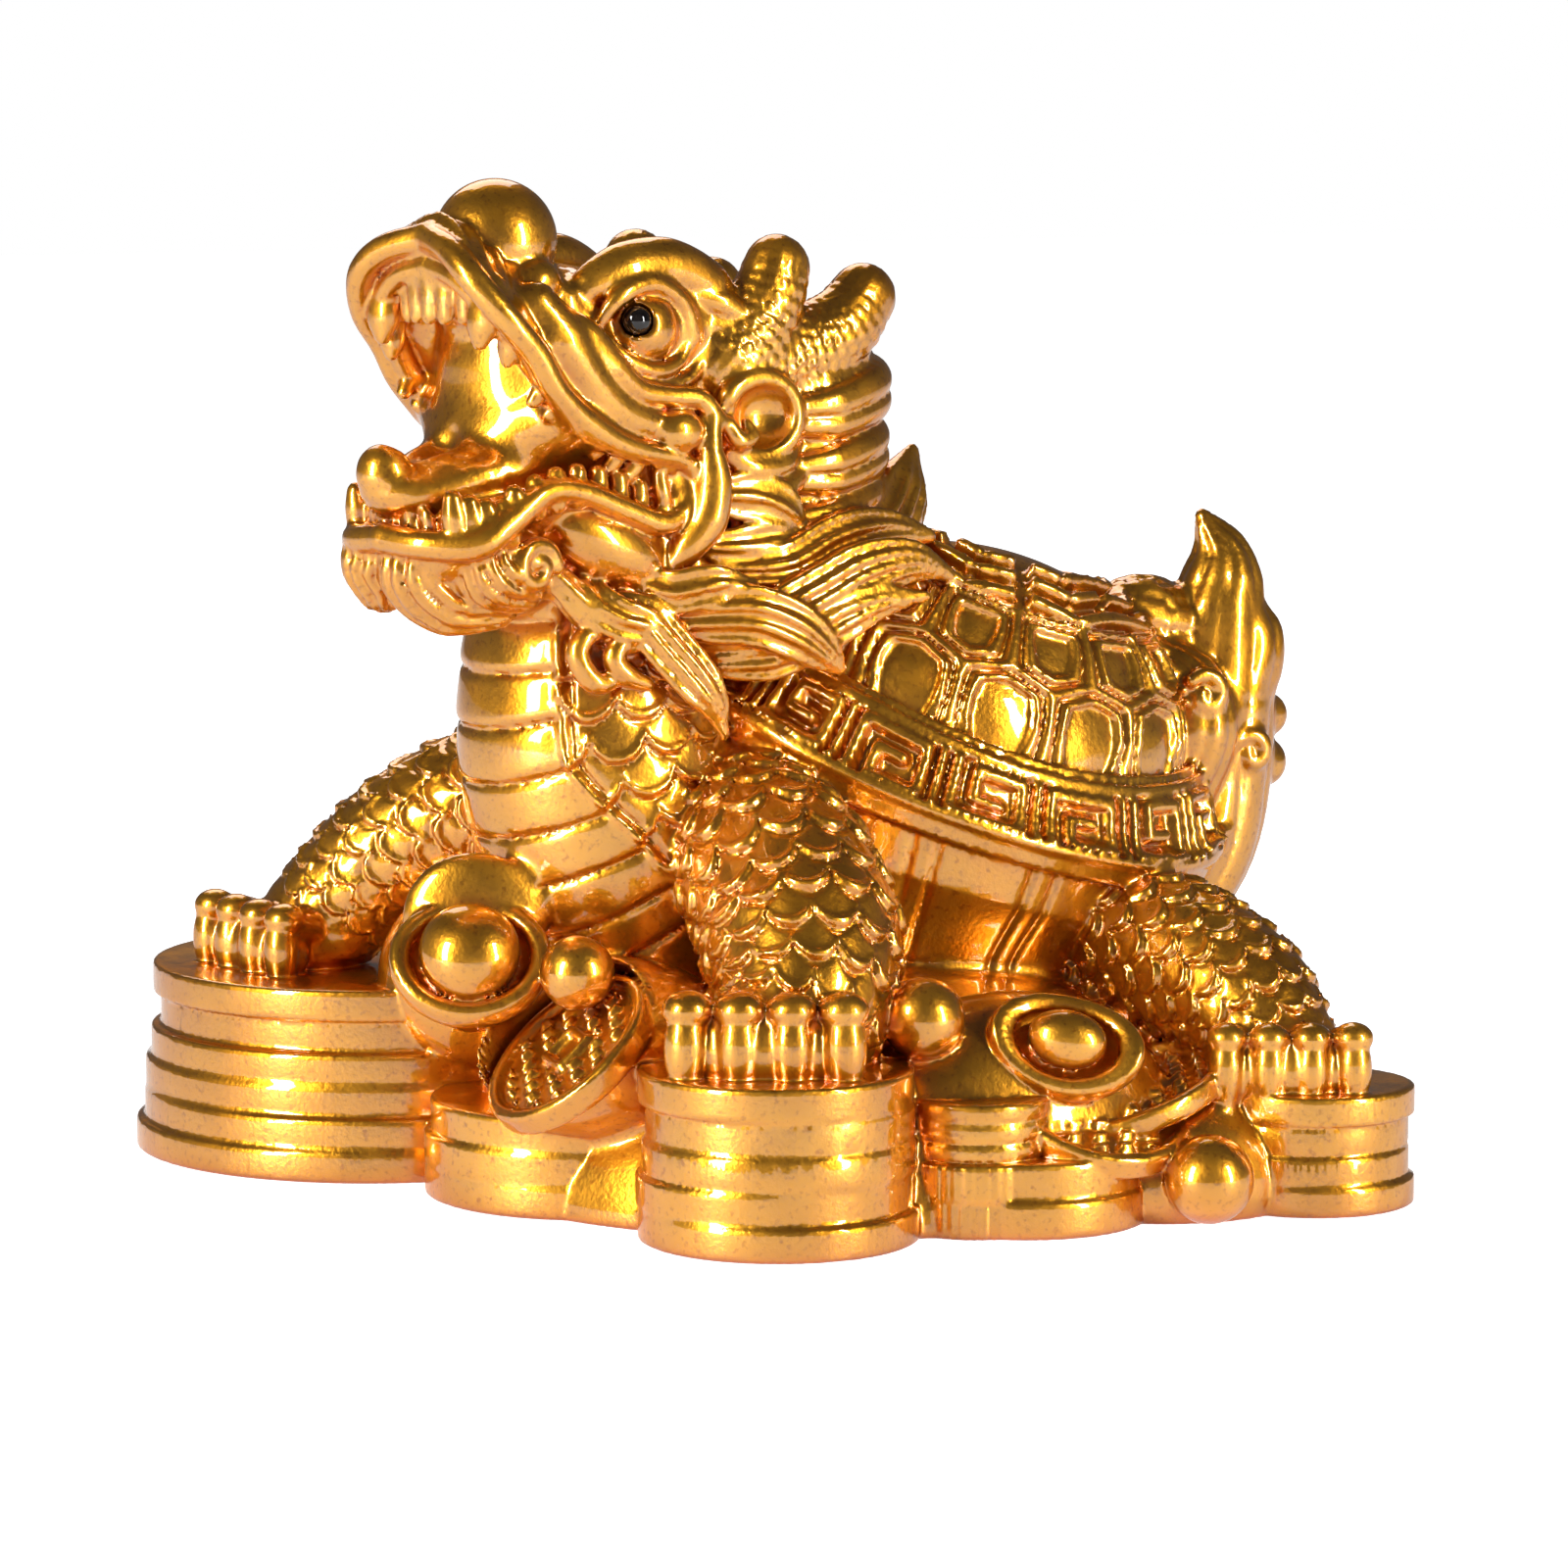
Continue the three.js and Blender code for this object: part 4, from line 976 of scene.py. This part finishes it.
def thin_out(obj, target):
    """Fewer faces where the surface is calm."""
    count = sum(len(p.vertices) - 2 for p in obj.data.polygons)
    if count <= target:
        return
    modifier = obj.modifiers.new("fewer", "DECIMATE")
    modifier.ratio = target / count
    bpy.context.view_layer.objects.active = obj
    bpy.context.view_layer.update()
    result = bpy.data.meshes.new_from_object(obj.evaluated_get(bpy.context.evaluated_depsgraph_get()))
    obj.modifiers.clear()
    obj.data = result


def cut_in_slices(whole):
    """Level slices of the one casting, alike in size, with its own smooth normals kept across the cuts."""
    mesh = whole.data
    corners = np.empty(len(mesh.vertices) * 3, np.float32)
    mesh.vertices.foreach_get("co", corners)
    normals = np.empty_like(corners)
    mesh.vertex_normals.foreach_get("vector", normals)
    mesh.calc_loop_triangles()
    sides = np.empty(len(mesh.loop_triangles) * 3, np.int32)
    mesh.loop_triangles.foreach_get("vertices", sides)
    corners, normals, sides = (a.reshape(-1, 3) for a in (corners, normals, sides))
    order = np.argsort(corners[sides][:, :, 2].mean(1))
    slices = []
    for name, share in zip(SLICES, np.array_split(order, len(SLICES))):
        used, index = np.unique(sides[share], return_inverse=True)
        piece = mesh_object("casting_" + name, corners[used], index.reshape(-1, 3))
        piece.data.shade_smooth()
        piece.data.normals_split_custom_set_from_vertices(normals[used])
        slices.append(piece)
    bpy.data.objects.remove(whole)
    return slices


points, faces = skin(clay)
whole = mesh_object("casting_whole", (points - BOX_MIDDLE) / 1000, faces)
thin_out(whole, FACES)
casting = cut_in_slices(whole)


def bead(name, side):
    """A glossy ball set in its socket."""
    bm = bmesh.new()
    bmesh.ops.create_uvsphere(bm, u_segments=40, v_segments=24, radius=PUPIL / 1000)
    place = on_head(np.array(EYE) * [side, 1, 1] + GAZE * [side, 1, 1] * 3.3) - BOX_MIDDLE
    bmesh.ops.translate(bm, verts=bm.verts, vec=place / 1000)
    mesh = bpy.data.meshes.new(name)
    bm.to_mesh(mesh)
    obj = bpy.data.objects.new(name, mesh)
    bpy.context.scene.collection.objects.link(obj)
    mesh.shade_smooth()
    return obj


# Finishes
def speckle_group():
    """Cloudy specks: a value that changes over the surface, spread from dark to light between two limits."""
    tree = bpy.data.node_groups.new("speckle", "ShaderNodeTree")
    for name, start in (("Scale", 100.0), ("Detail", 3.0), ("Low", 0.3), ("High", 0.7)):
        socket = tree.interface.new_socket(name, in_out="INPUT", socket_type="NodeSocketFloat")
        socket.default_value = start
    tree.interface.new_socket("Value", in_out="OUTPUT", socket_type="NodeSocketFloat")
    add, link = tree.nodes.new, tree.links.new
    given, result = add("NodeGroupInput"), add("NodeGroupOutput")
    where = add("ShaderNodeTexCoord")
    cloud = add("ShaderNodeTexNoise")
    spread = add("ShaderNodeMapRange")
    link(where.outputs["Object"], cloud.inputs["Vector"])
    link(given.outputs["Scale"], cloud.inputs["Scale"])
    link(given.outputs["Detail"], cloud.inputs["Detail"])
    link(cloud.outputs["Fac"], spread.inputs["Value"])
    link(given.outputs["Low"], spread.inputs["From Min"])
    link(given.outputs["High"], spread.inputs["From Max"])
    link(spread.outputs["Result"], result.inputs["Value"])
    return tree


def new_material(name):
    material = bpy.data.materials.new(name)
    material.use_nodes = True
    tree = material.node_tree
    return material, tree, tree.nodes["Principled BSDF"]


def specks(tree, scale, detail, low, high):
    node = tree.nodes.new("ShaderNodeGroup")
    node.node_tree = SPECKLE
    for name, value in (("Scale", scale), ("Detail", detail), ("Low", low), ("High", high)):
        node.inputs[name].default_value = value
    return node.outputs["Value"]


def two_colours(tree, factor, first, second):
    mix = tree.nodes.new("ShaderNodeMix")
    mix.data_type = "RGBA"
    tree.links.new(factor, mix.inputs["Factor"])
    for socket, value in (("A", first), ("B", second)):
        if isinstance(value, tuple):
            mix.inputs[socket].default_value = (*value, 1)
        else:
            tree.links.new(value, mix.inputs[socket])
    return mix.outputs["Result"]


def gold_lacquer():
    """Warm metallic gold under a clear glossy coat with a fine grain, browner in the hollows by painted shade from an
    occlusion mask, which also stands for lacquer pooled there.
    """
    material, tree, shader = new_material("gold_lacquer")
    add, link = tree.nodes.new, tree.links.new
    shader.inputs["Metallic"].default_value = 0.92
    shader.inputs["Coat Weight"].default_value = 1.0
    shader.inputs["Coat Roughness"].default_value = 0.05
    shader.inputs["Coat IOR"].default_value = 1.8
    shader.inputs["Specular Tint"].default_value = (0.85, 0.5, 0.2, 1)
    tint = two_colours(tree, specks(tree, 70, 4, 0.3, 0.7), (0.66, 0.26, 0.010), (0.82, 0.375, 0.026))
    fine = two_colours(tree, specks(tree, 1500, 2, 0.56, 0.75), tint, (0.50, 0.18, 0.010))
    # painted shade: the occlusion mask darkens creases and hollows toward red-brown, also standing for lacquer pooled
    # there
    hollow = add("ShaderNodeAmbientOcclusion")
    hollow.samples = 4
    hollow.inputs["Distance"].default_value = 0.0025
    depth = add("ShaderNodeMapRange")
    depth.inputs["From Min"].default_value = 0.85
    depth.inputs["From Max"].default_value = 0.25
    link(hollow.outputs["AO"], depth.inputs["Value"])
    # the red-brown painted shade colour is mixed in where the occlusion mask finds a hollow
    link(two_colours(tree, depth.outputs["Result"], fine, (0.50, 0.12, 0.003)), shader.inputs["Base Color"])
    gloss = add("ShaderNodeMapRange")
    gloss.inputs["To Min"].default_value = 0.28
    gloss.inputs["To Max"].default_value = 0.42
    link(specks(tree, 260, 3, 0.35, 0.7), gloss.inputs["Value"])
    link(gloss.outputs["Result"], shader.inputs["Roughness"])
    bump = add("ShaderNodeBump")
    bump.inputs["Strength"].default_value = 0.25
    bump.inputs["Distance"].default_value = 0.0001
    link(specks(tree, 2200, 2, 0.2, 0.8), bump.inputs["Height"])
    link(bump.outputs["Normal"], shader.inputs["Normal"])
    return material


def black_bead():
    """Glossy black with the faintest brown cloud."""
    material, tree, shader = new_material("black_bead")
    shader.inputs["Roughness"].default_value = 0.05
    shader.inputs["Coat Weight"].default_value = 0.3
    cloud = two_colours(tree, specks(tree, 900, 2, 0.3, 0.7), (0.004, 0.003, 0.003), (0.016, 0.012, 0.010))
    tree.links.new(cloud, shader.inputs["Base Color"])
    return material


SPECKLE = speckle_group()


gold = gold_lacquer()
for piece in casting:
    piece.data.materials.append(gold)
    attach(piece, "root")
    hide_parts("casting")
black = black_bead()
for side, name in ((1, "pupil_left"), (-1, "pupil_right")):
    piece = bead(name + "_bead", side)
    piece.data.materials.append(black)
    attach(piece, "root")
    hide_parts(name)


# Floor, lights and camera
def add_floor():
    """A white table, bright enough to light the undersides."""
    wide = 2.4
    mesh = bpy.data.meshes.new("floor")
    mesh.from_pydata([(-wide, -wide, 0), (wide, -wide, 0), (wide, wide, 0), (-wide, wide, 0)], [], [(0, 1, 2, 3)])
    floor = bpy.data.objects.new("floor", mesh)
    bpy.context.scene.collection.objects.link(floor)
    material, tree, shader = new_material("pale_floor")
    shader.inputs["Roughness"].default_value = 0.7
    shader.inputs["Emission Color"].default_value = (1, 1, 1, 1)
    seen = tree.nodes.new("ShaderNodeLightPath")
    glow = tree.nodes.new("ShaderNodeMapRange")
    glow.inputs["To Min"].default_value = 0.37
    tree.links.new(seen.outputs["Is Camera Ray"], glow.inputs["Value"])
    tree.links.new(glow.outputs["Result"], shader.inputs["Emission Strength"])
    pale = two_colours(tree, specks(tree, 40, 2, 0.3, 0.7), (0.90, 0.90, 0.90), (0.93, 0.93, 0.93))
    tree.links.new(pale, shader.inputs["Base Color"])
    mesh.materials.append(material)


def soft_box(name, toward, distance, size, power):
    """A rectangular light aimed at the object, placed by its direction in the camera's right, up and near axes."""
    right = np.array([math.cos(AZIMUTH), math.sin(AZIMUTH), 0])
    near = np.array([math.sin(AZIMUTH), -math.cos(AZIMUTH), 0])
    place = unit(right * toward[0] + np.array([0, 0, toward[1]]) + near * toward[2]) * distance
    light = bpy.data.lights.new(name, "AREA")
    light.shape = "RECTANGLE"
    light.size, light.size_y = size
    light.energy = power
    obj = bpy.data.objects.new(name, light)
    obj.location = place
    obj.rotation_euler = Vector(np.array([0, 0, 0.05]) - place).to_track_quat("-Z", "Y").to_euler()
    bpy.context.scene.collection.objects.link(obj)


def add_camera():
    """The photo's view: from the animal's left and a little ahead, slightly above."""
    right = np.array([math.cos(AZIMUTH), math.sin(AZIMUTH), 0])
    ahead = np.array([-math.sin(AZIMUTH), math.cos(AZIMUTH), 0])
    look = ahead * math.cos(PITCH) - np.array([0, 0, 1]) * math.sin(PITCH)
    upward = np.cross(right, look)
    data = bpy.data.cameras.new("camera")
    data.sensor_width = 36
    data.lens = 36 * 6300 / 1600
    camera = bpy.data.objects.new("camera", data)
    m = Matrix([[*row, 0] for row in np.stack([right, upward, -look], 1)] + [[0, 0, 0, 1]])
    m.translation = (CAMERA - BOX_MIDDLE) / 1000
    camera.matrix_world = m
    bpy.context.scene.collection.objects.link(camera)
    bpy.context.scene.camera = camera


def add_world():
    """White round the horizon, dark overhead; the camera itself sees plain white."""
    world = bpy.data.worlds.new("studio")
    bpy.context.scene.world = world
    world.use_nodes = True
    tree = world.node_tree
    add, link = tree.nodes.new, tree.links.new
    room = tree.nodes["Background"]
    where = add("ShaderNodeTexCoord")
    parts = add("ShaderNodeSeparateXYZ")
    fall = add("ShaderNodeMapRange")
    fall.inputs["From Min"].default_value = 0.05
    fall.inputs["From Max"].default_value = 0.75
    fall.inputs["To Min"].default_value = 0.10
    fall.inputs["To Max"].default_value = 0.04
    link(where.outputs["Generated"], parts.inputs["Vector"])
    link(parts.outputs["Z"], fall.inputs["Value"])
    link(fall.outputs["Result"], room.inputs["Strength"])
    room.inputs["Color"].default_value = (1, 1, 1, 1)
    white = add("ShaderNodeBackground")
    white.inputs["Color"].default_value = (1, 1, 1, 1)
    seen = add("ShaderNodeLightPath")
    both = add("ShaderNodeMixShader")
    link(seen.outputs["Is Camera Ray"], both.inputs["Fac"])
    link(room.outputs["Background"], both.inputs[1])
    link(white.outputs["Background"], both.inputs[2])
    link(both.outputs["Shader"], tree.nodes["World Output"].inputs["Surface"])


add_floor()
soft_box("key_left", (-0.75, 0.36, 0.65), 0.9, (0.18, 0.55), 8.2)
soft_box("key_right", (0.78, 0.3, 0.55), 0.9, (0.11, 0.55), 5.8)
soft_box("fill_behind", (-0.15, 0.75, -0.8), 0.9, (0.5, 0.5), 1.8)
add_camera()
add_world()
bpy.context.scene.view_settings.view_transform = "Standard"
